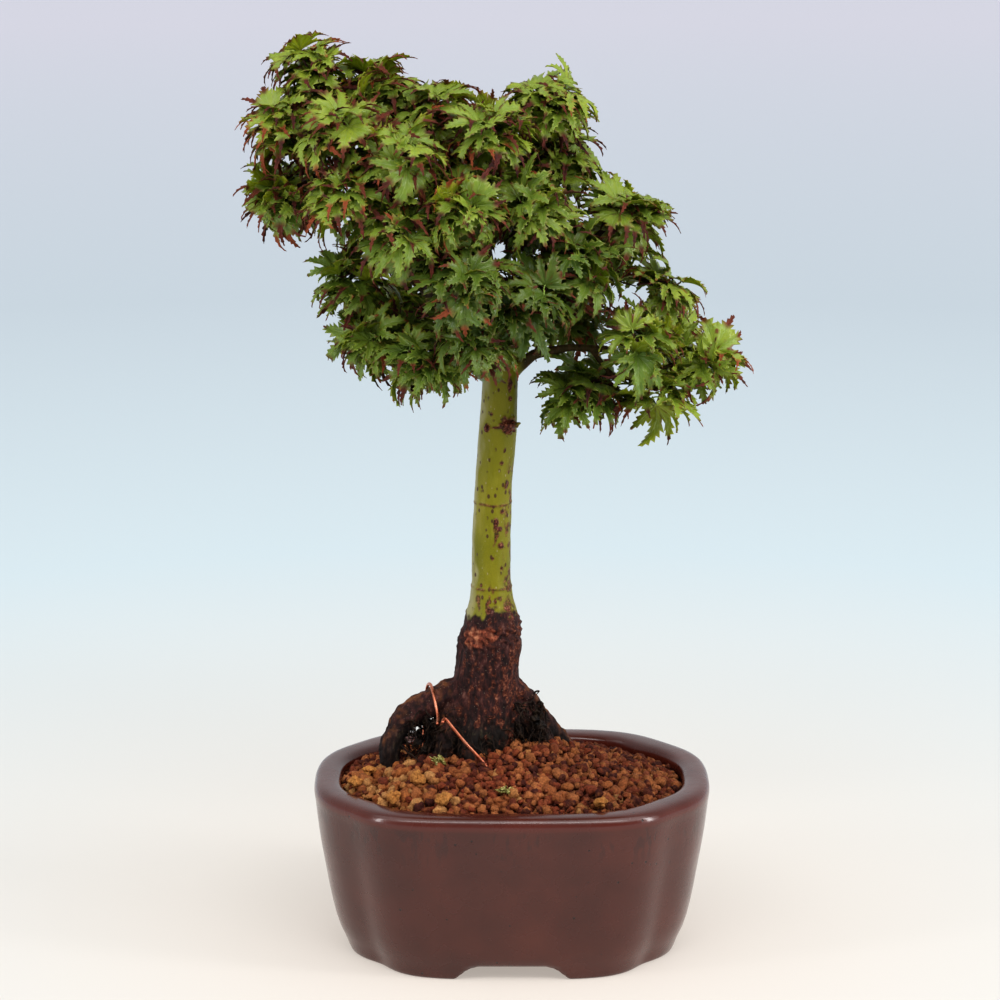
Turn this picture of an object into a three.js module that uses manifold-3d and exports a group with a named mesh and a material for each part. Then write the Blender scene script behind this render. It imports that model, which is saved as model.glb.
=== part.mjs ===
// A Japanese maple bonsai in a four-lobed glazed pot, in millimetres, +Z up, +X to the tree's right, +Y
// to its back. The tree, soil and wire are placed from the middle of the pot's foot. The
// last lines slide the whole object sideways, so that the origin ends up on the ground under the middle
// of its bounding box.
//
// Separate pieces: the pot, two drainage screens with their wire clips, the soil, a few pale lumps and
// moss tufts that lie on it, the wire that ties the tree in, the tree's wood (trunk, limbs, twigs and
// roots grew as one piece), and the leaves, which are grouped into one closed solid for each twig's
// tuft.
import * as THREE from "three";
import { mergeVertices } from "three/addons/utils/BufferGeometryUtils.js";
import Module from "manifold-3d";

const wasm = await Module();
wasm.setup();

// ---------------------------------------------------------------- driving dimensions
const POT_HALF_WIDTH = 91.5; // across the two side lobes, at the rim
const POT_HALF_DEPTH = 71; // across the front and back lobes
const SIDE_LOBE_REACH = 61; // half the length of a side lobe
const FRONT_LOBE_REACH = 76; // half the length of the front lobe
const FRONT_TAPER = 0.9; // the front and back walls lean in this much as far as the sides do
const SIDE_LOBE_POWER = 3; // roundness of each lobe: 2 is an ellipse, and more is squarer
const FRONT_LOBE_POWER = 4;
const POT_HEIGHT = 81.5;
const WALL = 8;
const LIP_WIDTH = 12.4; // the rim's flat top is wider than the wall
const FOOT_HEIGHT = 8.5; // the underside of the floor
const ARCH_HEIGHT = 7.2; // the gaps between the feet
const FLOOR_TOP = 15.5;
const DRAIN_X = 38; // the two drain holes lie on the pot's long axis
const DRAIN_RADIUS = 9;
const GAP = 0.35; // free space between pieces that touch in the real object

const SCREEN_SIDE = 26;
const SCREEN_THICK = 1.2;
const SCREEN_PITCH = 6;
const SCREEN_HOLE = 4.4;
const CLIP_RADIUS = 0.5;
const WIRE_RADIUS = 0.75;

const SOIL_EDGE = 76; // height of the soil at the pot's wall, on average
const SOIL_DOME = 12.5; // and how much higher its middle is
const SOIL_DOME_POWER = 2.6;
const SOIL_FALL_BACK = 2.2; // the soil's edge is this much lower at the back, and higher at the front
const SOIL_FALL_RIGHT = 1.2;
const HEAP = { x: 14, y: 0, height: 6.5, width: 15 }; // grains heaped against the trunk's right side
const PLANT_LEVEL = 2.5; // heights along the trunk, roots, limbs and tufts are measured from here

// ---------------------------------------------------------------- solids
// A closed body from rings of points, each ring counter-clockwise seen from the end of the stack, with
// a fan at each end.
function loft(rings, startCentre, endCentre) {
  const count = rings[0].length;
  const points = [...rings.flat(), startCentre, endCentre];
  const start = points.length - 2;
  const faces = [];
  for (let i = 0; i + 1 < rings.length; i++)
    for (let j = 0; j < count; j++) {
      const a = i * count + j;
      const b = i * count + ((j + 1) % count);
      faces.push(a, b, b + count, a, b + count, a + count);
    }
  const last = (rings.length - 1) * count;
  for (let j = 0; j < count; j++) {
    const k = (j + 1) % count;
    faces.push(start, k, j, start + 1, last + j, last + k);
  }
  return new THREE.BufferGeometry().setFromPoints(points).setIndex(faces);
}

function toSolid(geometry) {
  const bare = geometry.clone();
  bare.deleteAttribute("normal");
  bare.deleteAttribute("uv");
  const merged = mergeVertices(bare, 1e-4);
  return new wasm.Manifold(
    new wasm.Mesh({
      numProp: 3,
      vertProperties: merged.attributes.position.array,
      triVerts: new Uint32Array(merged.index.array),
    }),
  );
}

function toGeometry(solid) {
  const mesh = solid.getMesh();
  const geometry = new THREE.BufferGeometry()
    .setAttribute("position", new THREE.BufferAttribute(mesh.vertProperties, 3))
    .setIndex(new THREE.BufferAttribute(mesh.triVerts, 1));
  geometry.computeVertexNormals();
  return geometry;
}

const join = (solids) => solids.reduce((all, one) => all.add(one));
const largestBody = (solid) =>
  solid.decompose().sort((a, b) => b.volume() - a.volume())[0];

// A round bar along a smooth curve. stations is a list of [x, y, z, radius]; grow makes a thicker,
// longer copy.
function bar(stations, sides, stepsPerSpan, grow = 0) {
  const knots = stations.map(([x, y, z]) => new THREE.Vector3(x, y, z));
  const firstTangent = knots[0].clone().sub(knots[1]).setLength(grow || 1e-9);
  const lastTangent = knots.at(-1).clone().sub(knots.at(-2)).setLength(grow || 1e-9);
  knots[0].add(firstTangent);
  knots[knots.length - 1].add(lastTangent);
  const curve = new THREE.CatmullRomCurve3(knots, false, "centripetal");
  const steps = stepsPerSpan * (knots.length - 1);
  const centres = curve.getPoints(steps);
  const radii = centres.map((_, i) => {
    const at = i / stepsPerSpan;
    const k = Math.min(Math.floor(at), stations.length - 2);
    return THREE.MathUtils.lerp(stations[k][3], stations[k + 1][3], at - k) + grow;
  });
  const across = new THREE.Vector3(0.31, 0.87, 0.38); // any direction that no bar runs along
  const rings = centres.map((centre, i) => {
    const before = centres[Math.max(i - 1, 0)];
    const after = centres[Math.min(i + 1, steps)];
    const tangent = after.clone().sub(before).normalize();
    across.addScaledVector(tangent, -across.dot(tangent)).normalize();
    const other = tangent.clone().cross(across);
    return Array.from({ length: sides }, (_, j) => {
      const turn = (2 * Math.PI * j) / sides;
      return centre
        .clone()
        .addScaledVector(across, radii[i] * Math.cos(turn))
        .addScaledVector(other, radii[i] * Math.sin(turn));
    });
  });
  return toSolid(loft(rings, centres[0], centres[steps]));
}

function block(size, centre) {
  return toSolid(new THREE.BoxGeometry(...size).translate(...centre));
}

// A lumpy ellipsoid: every tuft, lump and moss cushion is one, and seed turns the lumps.
function lump(centre, radii, seed, detail, grow = 0) {
  const geometry = new THREE.IcosahedronGeometry(1, detail);
  const position = geometry.attributes.position;
  const point = new THREE.Vector3();
  for (let i = 0; i < position.count; i++) {
    point.fromBufferAttribute(position, i);
    const across = Math.sin(3 * point.x + seed) * Math.cos(3 * point.y - seed);
    const wave = across + Math.sin(4 * point.z + 2 * seed);
    const swell = 1 + 0.05 * wave;
    position.setXYZ(
      i,
      centre[0] + point.x * (radii[0] * swell + grow),
      centre[1] + point.y * (radii[1] * swell + grow),
      centre[2] + point.z * (radii[2] * swell + grow),
    );
  }
  return toSolid(geometry);
}

// ---------------------------------------------------------------- pot
function superellipse(angle, a, b, power) {
  const c = Math.abs(Math.cos(angle) / a) ** power;
  const s = Math.abs(Math.sin(angle) / b) ** power;
  return (c + s) ** (-1 / power);
}

// Distance from the pot's axis to its outline, moved inwards by inset: a wide oval crossed by a deep
// one. The larger sharpness is, the tighter the crease where the two meet.
function outline(angle, inset, sharpness, frontInset = inset) {
  const side = superellipse(angle, POT_HALF_WIDTH - inset, SIDE_LOBE_REACH - inset, SIDE_LOBE_POWER);
  const frontReach = FRONT_LOBE_REACH - frontInset;
  const front = superellipse(angle, frontReach, POT_HALF_DEPTH - frontInset, FRONT_LOBE_POWER);
  return (side ** sharpness + front ** sharpness) ** (1 / sharpness);
}

function potRing(inset, height, sharpness, count, frontInset = inset) {
  return Array.from({ length: count }, (_, j) => {
    const angle = (2 * Math.PI * j) / count;
    const r = outline(angle, inset, sharpness, frontInset);
    return new THREE.Vector3(r * Math.cos(angle), r * Math.sin(angle), height);
  });
}

// The wall's section outside, from the underside to the rim, and inside, from the rim to the floor:
// [inset from the rim's outline, height, sharpness].
const OUTER_SECTION = [
  [25, FOOT_HEIGHT, 30],
  [24.4, 0, 30],
  [15.8, 0, 32],
  [14.6, 1.2, 32],
  [10.2, 13, 32],
  [7.1, 27, 32],
  [4.6, 42, 32],
  [2, 57, 30],
  [0, 73, 24],
  [0.3, POT_HEIGHT - 3.1, 22],
  [1.8, POT_HEIGHT - 0.7, 20],
  [4, POT_HEIGHT, 20],
];
const INNER_SECTION = [
  [9.5, POT_HEIGHT, 20],
  [11.6, POT_HEIGHT - 0.8, 20],
  [LIP_WIDTH, POT_HEIGHT - 2.9, 20],
  [LIP_WIDTH - 0.6, 73, 22],
  [2 + WALL, 58, 24],
  [4.6 + WALL, 42, 24],
  [8 + WALL, 24.5, 24],
  [12 + WALL, 17.5, 24],
  [17 + WALL, FLOOR_TOP, 24],
];

function potSolid() {
  const rings = [
    ...OUTER_SECTION.map(([inset, height, sharpness]) => {
      return potRing(inset, height, sharpness, 60, inset * FRONT_TAPER);
    }),
    ...INNER_SECTION.map(([inset, height, sharpness]) => potRing(inset, height, sharpness, 60)),
  ];
  const body = toSolid(
    loft(rings, new THREE.Vector3(0, 0, FOOT_HEIGHT), new THREE.Vector3(0, 0, FLOOR_TOP)),
  );
  const cuts = [footArch(26.5, 18.5, 90, 0), footArch(19.5, 12, 110, Math.PI / 2)];
  for (const x of [-DRAIN_X, DRAIN_X])
    cuts.push(
      toSolid(
        new THREE.CylinderGeometry(DRAIN_RADIUS, DRAIN_RADIUS, 20, 28)
          .rotateX(Math.PI / 2)
          .translate(x, 0, FLOOR_TOP - 3),
      ),
    );
  return cuts.reduce((pot, cut) => pot.subtract(cut), body);
}

// The opening between two feet, a low trapezium that runs right under the pot.
function footArch(halfBottom, halfTop, halfRun, turn) {
  const section = new THREE.Shape([
    new THREE.Vector2(-halfBottom - 1, -1),
    new THREE.Vector2(halfBottom + 1, -1),
    new THREE.Vector2(halfTop, ARCH_HEIGHT),
    new THREE.Vector2(-halfTop, ARCH_HEIGHT),
  ]);
  const geometry = new THREE.ExtrudeGeometry(section, { depth: 2 * halfRun, bevelEnabled: false });
  geometry.translate(0, 0, -halfRun).rotateX(Math.PI / 2).rotateZ(turn);
  return toSolid(geometry);
}

// ---------------------------------------------------------------- drainage screens, clips and the tie wire
function screenSolid(x) {
  const z = FLOOR_TOP + GAP + SCREEN_THICK / 2;
  let plate = block([SCREEN_SIDE, SCREEN_SIDE, SCREEN_THICK], [x, 0, z]);
  for (const i of [-1, 0, 1]) {
    for (const j of [-1, 0, 1]) {
      const middle = [x + i * SCREEN_PITCH, j * SCREEN_PITCH, z];
      plate = plate.subtract(block([SCREEN_HOLE, SCREEN_HOLE, 4], middle));
    }
  }
  return plate;
}

// A bent wire that lies across the screen, goes down through the drain hole and turns out under the
// pot's floor.
function clipSolid(x, grow = 0) {
  const top = FLOOR_TOP + GAP + SCREEN_THICK + GAP + CLIP_RADIUS;
  const under = FOOT_HEIGHT - GAP - CLIP_RADIUS;
  const stations = [
    [x, -15, under],
    [x, -SCREEN_PITCH - 1.5, under],
    [x, -SCREEN_PITCH, under + 1.5],
    [x, -SCREEN_PITCH, top - 1.5],
    [x, -SCREEN_PITCH + 1.5, top],
    [x, SCREEN_PITCH - 1.5, top],
    [x, SCREEN_PITCH, top - 1.5],
    [x, SCREEN_PITCH, under + 1.5],
    [x, SCREEN_PITCH + 1.5, under],
    [x, 15, under],
  ];
  return bar(stations.map((s) => [...s, CLIP_RADIUS]), 6, 1, grow);
}

// The tie wire's route, by hand: from one cut end over the left root, down through the soil and the
// left drain hole, under the pot, up through the right one, and out of the soil in front to the other
// cut end beside the first.
const TIE_WIRE_ROUTE = [
  [-34.4, -15.5, 109.1],
  [-34.1, -12, 110.7],
  [-34.6, -8.6, 113.5],
  [-36.4, -2.5, 120.1],
  [-37.8, 5, 122.3],
  [-39.6, 14, 118.6],
  [-41, 18, 102.5],
  [-42, 15, 72.5],
  [-42, 6, 37.5],
  [-44, 0, 20.5],
  [-44, 0, 10.5],
  [-38, 0, 6.1],
  [0, 0, 5.7],
  [38, 0, 6.1],
  [44, 0, 10.5],
  [44, 0, 20.5],
  [34, -10, 38.5],
  [10, -20, 64.5],
  [-7, -20, 82.5],
  [-13, -18, 91.5],
  [-20.8, -16, 99.5],
  [-28, -14.4, 108.1],
  [-31, -13.4, 111.5],
  [-32, -16.6, 110.1],
];
const tieWireSolid = (grow = 0) =>
  bar(TIE_WIRE_ROUTE.map((p) => [...p, WIRE_RADIUS]), 6, 2, grow);

// ---------------------------------------------------------------- soil
const INNER_SHARPNESS = 24;

function soilHeight(x, y) {
  const angle = Math.atan2(y, x);
  const share = Math.min(Math.hypot(x, y) / outline(angle, LIP_WIDTH, INNER_SHARPNESS), 1);
  const mound = 1.5 * Math.exp(-((x + 10) ** 2 + (y - 8) ** 2) / (2 * 22 ** 2));
  const fall = (SOIL_FALL_BACK * y) / POT_HALF_DEPTH + (SOIL_FALL_RIGHT * x) / POT_HALF_WIDTH;
  const heap = HEAP.height * Math.exp(-((x - HEAP.x) ** 2 + (y - HEAP.y) ** 2) / (2 * HEAP.width ** 2));
  return SOIL_EDGE - fall + SOIL_DOME * (1 - share ** SOIL_DOME_POWER) + mound + heap;
}

// The soil fills the pot, and is cut back around everything that stands in it.
function soilSolid(buried) {
  const count = 44;
  const sideRings = [
    [17.6 + WALL, FLOOR_TOP + GAP],
    [12.4 + WALL, 18.3],
    [8.4 + WALL, 25.1],
    [5 + WALL, 42],
    [LIP_WIDTH, 60],
    [LIP_WIDTH + GAP, SOIL_EDGE - 4.5],
  ].map(([inset, height]) => potRing(inset + GAP, height, INNER_SHARPNESS, count));
  const rim = sideRings.at(-1);
  const topRings = [1, 0.95, 0.8, 0.56, 0.28].map((share) =>
    rim.map((p) => new THREE.Vector3(p.x * share, p.y * share, soilHeight(p.x * share, p.y * share))),
  );
  const mass = toSolid(
    loft(
      [...sideRings, ...topRings],
      new THREE.Vector3(0, 0, FLOOR_TOP + GAP),
      new THREE.Vector3(0, 0, soilHeight(0, 0)),
    ),
  );
  return largestBody(buried.reduce((soil, piece) => soil.subtract(piece), mass));
}

// The pocket in the soil above each drain hole, which its screen and clip fill.
const screenPocket = (x) =>
  block([SCREEN_SIDE + 1, SCREEN_SIDE + 1, 6], [x, 0, FLOOR_TOP + 0.6]);

// ---------------------------------------------------------------- wood
// Each list is [x, y, z, radius] from the butt to the tip.
const TRUNK = [
  [-12, 10, 58, 11],
  [-14, 10, 73, 17],
  [-15.8, 10, 89, 18],
  [-13.7, 10, 101, 17.1],
  [-12.5, 10, 111, 16.4],
  [-12.1, 10, 120.4, 15.3],
  [-11.1, 10, 130, 14.7],
  [-9.8, 10, 140, 14.5],
  [-9.1, 10, 149.5, 13.1],
  [-9.4, 10, 159, 10.4],
  [-9.6, 10, 169, 9.1],
  [-9.5, 10, 188, 9],
  [-8.4, 9, 216, 8.6],
  [-6.5, 8.5, 240, 8.8],
  [-5.6, 8, 258, 8.3],
  [-5.5, 8, 274, 8],
  [-6, 7.5, 289, 6.2],
];

const ROOTS = {
  left_arch: [
    [-16, 10, 116, 9], [-31.2, 8, 113.5, 7.2], [-40.5, 6, 109, 6.6], [-49, 4.3, 104.5, 6],
    [-54, 2, 97.5, 5.4], [-56.5, 0.5, 90, 5], [-57, 0, 80, 4.6], [-56, -1, 66, 2.8],
  ],
  left_fill: [[-18, 9, 110, 9], [-26, 8, 105, 7.6], [-32, 6, 99, 5.4], [-35, 5, 88, 4.4]],
  left_mass: [[-20, 6, 112, 8], [-26, 3, 104, 7], [-29.5, 0, 95, 6.4], [-31, -1, 86, 6], [-31, -2, 72, 4]],
  front: [[-16, 3, 108, 9], [-18, -1, 98, 8], [-18, -4, 88, 7.4], [-17, -7, 74, 4.5]],
  right: [
    [-2, 10, 118, 6], [7.6, 11, 111, 4.2], [13, 12, 104.6, 3.5], [19, 13, 96.6, 3.3],
    [24, 14, 90.3, 3.2], [31, 15.5, 82, 2.8], [38, 17, 72, 1.8],
  ],
  right_low: [[-4, 8, 108, 9], [5, 9, 102, 7.5], [12, 10, 95, 6.5], [15, 9, 86, 5.5], [15, 8, 74, 4]],
  back: [[-10, 18, 110, 8], [-6, 28, 98, 6], [-2, 36, 88, 4.5], [2, 42, 74, 3]],
  back_left: [[-22, 16, 108, 7], [-31, 24, 97, 5], [-39, 31, 88, 4], [-46, 36, 74, 2.5]],
};

const LIMBS = {
  left: [[-6, 8, 268, 6.2], [-18, 7, 287, 5], [-33, 5, 301, 3.8], [-49, 2, 315.7, 3], [-60, 0, 339, 2.4],
    [-65, 0, 352, 2.1], [-78, 1, 374, 1.8], [-86, 4, 390, 1.4]],
  leader: [[-5.5, 8, 276, 6], [-9, 7, 298, 4.8], [-13, 6, 325, 3.8], [-13.5, 6, 345, 3], [-8, 6, 366, 2.3],
    [-2, 5, 382, 1.5]],
  right: [
    [-4, 8, 272, 5], [8, 8, 290, 4], [20, 8, 300, 3], [29.9, 8, 311.5, 2.4], [32, 7, 324, 2.1],
    [42, 4, 334, 1.4],
  ],
  low_right: [
    [-2, 7, 266, 4], [10, 5, 276, 2.6], [26.8, 4, 279.5, 1.9], [37, 2.5, 279, 1.8],
    [44, 2, 279, 1.7],
  ],
  low_right_tip: [
    [36, 2.5, 279, 1.5], [41, 1, 272, 1.4], [46, -1, 267, 1.3], [58, -2, 267, 1.2],
    [72, -1, 272, 1.1], [84, 1, 276, 0.9],
  ],
  low_left: [
    [-8, 7, 270, 4], [-22, 2, 281, 3.2], [-38, -4, 287, 2.4], [-52, -9, 289, 1.8],
    [-62, -12, 288, 1.3],
  ],
  front: [
    [-6, 5, 278, 4.4], [-10, -8, 296, 3.4], [-14, -22, 314, 2.6], [-18, -34, 332, 2],
    [-20, -42, 348, 1.3],
  ],
  front_left: [[-33, 5, 301, 3.2], [-44, -10, 320, 2.5], [-54, -22, 342, 1.9], [-62, -30, 362, 1.3]],
  front_right: [
    [-4, 6, 276, 3.8], [6, -8, 292, 2.8], [14, -20, 308, 2.1], [16, -26, 324, 1.6],
    [12, -30, 342, 1.2],
  ],
  back: [
    [-6, 9, 278, 4.4], [-10, 22, 298, 3.4], [-16, 38, 316, 2.5], [-20, 50, 336, 1.9],
    [-19, 54, 356, 1.3],
  ],
  back_left: [[-49, 2, 315.7, 2.8], [-56, 18, 332, 2.2], [-66, 32, 350, 1.7], [-76, 40, 368, 1.2]],
  back_right: [[8, 8, 290, 3.2], [16, 24, 304, 2.4], [20, 38, 322, 1.8], [18, 46, 344, 1.2]],
};

// Old pruning scars on the trunk, and the dead stub beside the larger one.
const KNOTS = [
  { at: [-1.9, 1.6, 243], radii: [3.6, 2.8, 3.6] },
  { at: [-11.6, 1, 242], radii: [1.5, 1.4, 1.6] },
];
const STUB = [[-1, 2, 243.5, 1.2], [4.4, 0.6, 245, 0.8]];

// The tufts of leaves. Each grows on a twig of one limb, and is [name, limb, centre, radii].
const TUFTS = [
  ["left_tip_top", "left", [-90, 6, 404], [17, 16, 18]],
  ["left_tip_inner", "left", [-63, 0, 398], [20, 18, 15]],
  ["left_shoulder", "left", [-101, -6, 382], [17, 17, 15]],
  ["left_side", "left", [-103, 2, 354], [17, 18, 16]],
  ["left_under", "left", [-72, -6, 314], [17, 18, 15]],
  ["front_left_top", "front_left", [-76, -32, 381], [20, 18, 16]],
  ["front_left_low", "front_left", [-73, -38, 355], [20, 18, 16]],
  ["front_left_inner", "front_left", [-49, -44, 376], [19, 18, 17]],
  ["front_left_base", "front_left", [-47, -46, 339], [19, 18, 17]],
  ["top_centre", "leader", [-36, -4, 389], [19, 18, 16]],
  ["top_front", "leader", [-10, -28, 386], [21, 19, 16]],
  ["top_right", "leader", [16, -2, 393], [19, 18, 14]],
  ["top_right_side", "leader", [22, 18, 365], [16, 18, 17]],
  ["heart_left", "leader", [-33, 14, 361], [18, 18, 16]],
  ["heart_right", "leader", [-1, 16, 359], [18, 18, 16]],
  ["front_high", "front", [-22, -50, 357], [21, 18, 17]],
  ["front_middle", "front", [-21, -54, 322], [21, 18, 17]],
  ["front_low", "front", [-14, -42, 294], [19, 18, 14]],
  ["front_right_top", "front_right", [10, -32, 350], [19, 18, 17]],
  ["front_right_low", "front_right", [7, -42, 309], [20, 18, 16]],
  ["front_right_side", "front_right", [32, -28, 322], [20, 18, 15]],
  ["right_top", "right", [51, -2, 341], [22, 19, 15]],
  ["right_side", "right", [69, 8, 306], [17, 18, 11]],
  ["low_right_tip", "low_right_tip", [89, 2, 278], [20, 18, 13]],
  ["low_right_front", "low_right_tip", [57, -22, 285], [20, 18, 14]],
  ["low_right_under", "low_right_tip", [67, -4, 258], [18, 18, 13]],
  ["low_right_inner", "low_right_tip", [33, 2, 261], [20, 18, 13]],
  ["low_left_tip", "low_left", [-62, -14, 291], [20, 18, 14]],
  ["low_left_front", "low_left", [-39, -30, 281], [20, 18, 13]],
  ["back_left_top", "back_left", [-86, 44, 383], [19, 18, 17]],
  ["back_left_inner", "back_left", [-54, 52, 379], [20, 18, 17]],
  ["back_left_side", "back_left", [-93, 44, 346], [16, 18, 15]],
  ["back_left_base", "back_left", [-66, 54, 337], [19, 18, 17]],
  ["back_top", "back", [-19, 56, 372], [21, 19, 17]],
  ["back_middle", "back", [-29, 66, 326], [21, 18, 17]],
  ["back_low_left", "back", [-52, 46, 287], [20, 18, 15]],
  ["back_low", "back", [-17, 60, 284], [20, 18, 15]],
  ["back_right_top", "back_right", [15, 50, 363], [20, 18, 17]],
  ["back_right_middle", "back_right", [9, 62, 322], [21, 18, 17]],
  ["back_right_side", "back_right", [48, 42, 327], [20, 18, 16]],
  ["back_right_low", "back_right", [25, 48, 286], [20, 18, 15]],
  ["back_right_tip", "right", [69, 36, 282], [18, 17, 12]],
];

// A twig leaves its limb at the nearest point below the tuft, and ends near the tuft's middle.
function twigStations(limb, centre) {
  const target = new THREE.Vector3(...centre);
  const knots = LIMBS[limb].map(([x, y, z]) => new THREE.Vector3(x, y, z));
  const along = new THREE.CatmullRomCurve3(knots, false, "centripetal").getPoints(40);
  const cost = (p) => p.distanceTo(target) + 0.6 * Math.max(p.z - target.z, 0);
  const from = along.slice(4).reduce((best, p) => (cost(p) < cost(best) ? p : best));
  const to = target.clone().lerp(from, 0.3);
  const middle = from.clone().lerp(to, 0.5);
  middle.z += 0.1 * from.distanceTo(to);
  return [
    [from.x, from.y, from.z, 1.2],
    [middle.x, middle.y, middle.z, 1],
    [to.x, to.y, to.z, 0.8],
  ];
}

// The trunk with its roots, limbs and twigs. grow makes the slightly fatter copy that the leaves and
// soil are cut with.
function woodSolid(grow = 0) {
  const pieces = [bar(TRUNK, 18, 1, grow)];
  for (const root of Object.values(ROOTS)) pieces.push(bar(root, 7, 2, grow));
  for (const limb of Object.values(LIMBS)) pieces.push(bar(limb, 7, 1, grow));
  for (const [, limb, centre] of TUFTS) pieces.push(bar(twigStations(limb, centre), 4, 1, grow));
  for (const { at, radii } of KNOTS) pieces.push(lump(at, radii, 1, 0, grow));
  pieces.push(bar(STUB, 6, 1, grow));
  return join(pieces).translate([0, 0, PLANT_LEVEL]);
}

// ---------------------------------------------------------------- leaves
// A tuft gives way to the wood inside it and to the tufts made before it.
function tuftSolids(woodRoom) {
  const made = [];
  TUFTS.forEach(([name, , [x, y, z], radii], i) => {
    const centre = [x, y, z + PLANT_LEVEL];
    let solid = lump(centre, radii, i, 1).subtract(woodRoom);
    for (const other of made) {
      const apart = new THREE.Vector3(...centre).distanceTo(new THREE.Vector3(...other.centre));
      if (apart < Math.max(...radii) + Math.max(...other.radii) + 2) solid = solid.subtract(other.room);
    }
    made.push({ name, centre, radii, solid: largestBody(solid), room: lump(centre, radii, i, 1, GAP) });
  });
  return made;
}

// ---------------------------------------------------------------- loose pieces on the soil
const PALE_LUMPS = [
  [-72, -22, 3.7],
  [-66, -12, 3.4],
  [-43, -31, 3.8],
  [-54, -44, 3.6],
  [-31, -53, 4],
  [40, -52, 3.5],
];
const MOSS_TUFTS = [
  { name: "moss_tuft_front", x: -3, y: -45, radii: [4.6, 3.6, 2] },
  { name: "moss_tuft_root", x: -34, y: -15, radii: [4, 3, 3] },
];

// How high a body of this half height has to be to clear the domed soil all round.
function restingHeight(x, y, reach, halfHeight) {
  const around = [0, 1, 2, 3, 4, 5].map((k) => {
    const turn = (k * Math.PI) / 3;
    return soilHeight(x + reach * Math.cos(turn), y + reach * Math.sin(turn));
  });
  return Math.max(soilHeight(x, y), ...around) + halfHeight * 1.1 + GAP;
}

// ---------------------------------------------------------------- the object
const MATERIALS = {
  glaze: new THREE.MeshStandardMaterial({ color: 0x4a2a26, roughness: 0.28, metalness: 0 }),
  soil: new THREE.MeshStandardMaterial({ color: 0x7e4322, roughness: 0.95, metalness: 0 }),
  pale: new THREE.MeshStandardMaterial({ color: 0xb07840, roughness: 0.95, metalness: 0 }),
  bark: new THREE.MeshStandardMaterial({ color: 0x6f7a25, roughness: 0.7, metalness: 0 }),
  leaf: new THREE.MeshStandardMaterial({ color: 0x4f7d1f, roughness: 0.5, metalness: 0 }),
  moss: new THREE.MeshStandardMaterial({ color: 0x5c6e2c, roughness: 0.95, metalness: 0 }),
  copper: new THREE.MeshStandardMaterial({ color: 0xb5654a, roughness: 0.35, metalness: 1 }),
  plastic: new THREE.MeshStandardMaterial({ color: 0x1d1d1d, roughness: 0.6, metalness: 0 }),
};

const bonsai = new THREE.Group();
function place(name, solid, material) {
  const mesh = new THREE.Mesh(toGeometry(solid), material);
  mesh.name = name;
  bonsai.add(mesh);
}

const woodRoom = woodSolid(GAP);
place("pot", potSolid(), MATERIALS.glaze);
const soilCuts = [woodRoom, tieWireSolid(GAP), screenPocket(-DRAIN_X), screenPocket(DRAIN_X)];
place("soil", soilSolid(soilCuts), MATERIALS.soil);
place("tree_wood", woodSolid(), MATERIALS.bark);
place("tie_wire", tieWireSolid(), MATERIALS.copper);
for (const [side, x] of [["left", -DRAIN_X], ["right", DRAIN_X]]) {
  place(`drain_screen_${side}`, screenSolid(x), MATERIALS.plastic);
  place(`screen_clip_${side}`, clipSolid(x), MATERIALS.copper);
}
PALE_LUMPS.forEach(([x, y, r], i) => {
  const z = restingHeight(x, y, r, r * 0.85);
  place(`pale_lump_${i + 1}`, lump([x, y, z], [r, r, r * 0.85], i, 1), MATERIALS.pale);
});
for (const { name, x, y, radii } of MOSS_TUFTS) {
  const z = restingHeight(x, y, radii[0], radii[2]);
  place(name, lump([x, y, z], radii, 2, 1).subtract(woodRoom).subtract(tieWireSolid(GAP)), MATERIALS.moss);
}
for (const { name, solid } of tuftSolids(woodRoom)) place(`leaves_${name}`, solid, MATERIALS.leaf);

// The origin goes under the middle of the whole object.
const middle = new THREE.Box3().setFromObject(bonsai).getCenter(new THREE.Vector3());
bonsai.position.set(-middle.x, -middle.y, 0);

export default bonsai;
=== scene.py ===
"""A Japanese maple bonsai in a four-lobed glazed pot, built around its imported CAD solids.

Shapes are worked out in millimetres in the CAD's own frame (+Z up, +X to the tree's right, +Y to its
back), and are in metres only in meshes. Each piece takes its place from the CAD node that it stands for.
"""
import itertools
import math

import bpy
import numpy as np
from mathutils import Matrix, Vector
from mathutils.bvhtree import BVHTree


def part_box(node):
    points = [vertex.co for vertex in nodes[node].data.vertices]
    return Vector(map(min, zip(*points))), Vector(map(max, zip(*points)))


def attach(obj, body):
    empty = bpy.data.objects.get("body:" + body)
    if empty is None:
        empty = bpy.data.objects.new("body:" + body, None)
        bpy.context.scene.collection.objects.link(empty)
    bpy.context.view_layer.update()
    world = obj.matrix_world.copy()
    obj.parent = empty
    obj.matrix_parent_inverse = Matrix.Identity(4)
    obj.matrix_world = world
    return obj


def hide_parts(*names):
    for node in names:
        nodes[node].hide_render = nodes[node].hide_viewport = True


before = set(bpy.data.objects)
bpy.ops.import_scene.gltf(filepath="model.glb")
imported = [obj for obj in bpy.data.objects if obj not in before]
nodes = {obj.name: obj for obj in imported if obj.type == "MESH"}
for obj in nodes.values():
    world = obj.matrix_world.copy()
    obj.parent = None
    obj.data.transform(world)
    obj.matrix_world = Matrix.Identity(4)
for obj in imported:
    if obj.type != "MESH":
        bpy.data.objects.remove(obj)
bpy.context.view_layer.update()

MM = 0.001


def box_mm(node):
    """A CAD node's lowest and highest corners in millimetres."""
    low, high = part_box(node)
    return np.array(low) / MM, np.array(high) / MM


POT_LOW, POT_HIGH = box_mm("pot")
POT_CENTRE = np.array([(POT_LOW[0] + POT_HIGH[0]) / 2, (POT_LOW[1] + POT_HIGH[1]) / 2, 0])
PLANT_LEVEL = 2.5  # heights along the trunk are measured from here, as in the CAD


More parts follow.
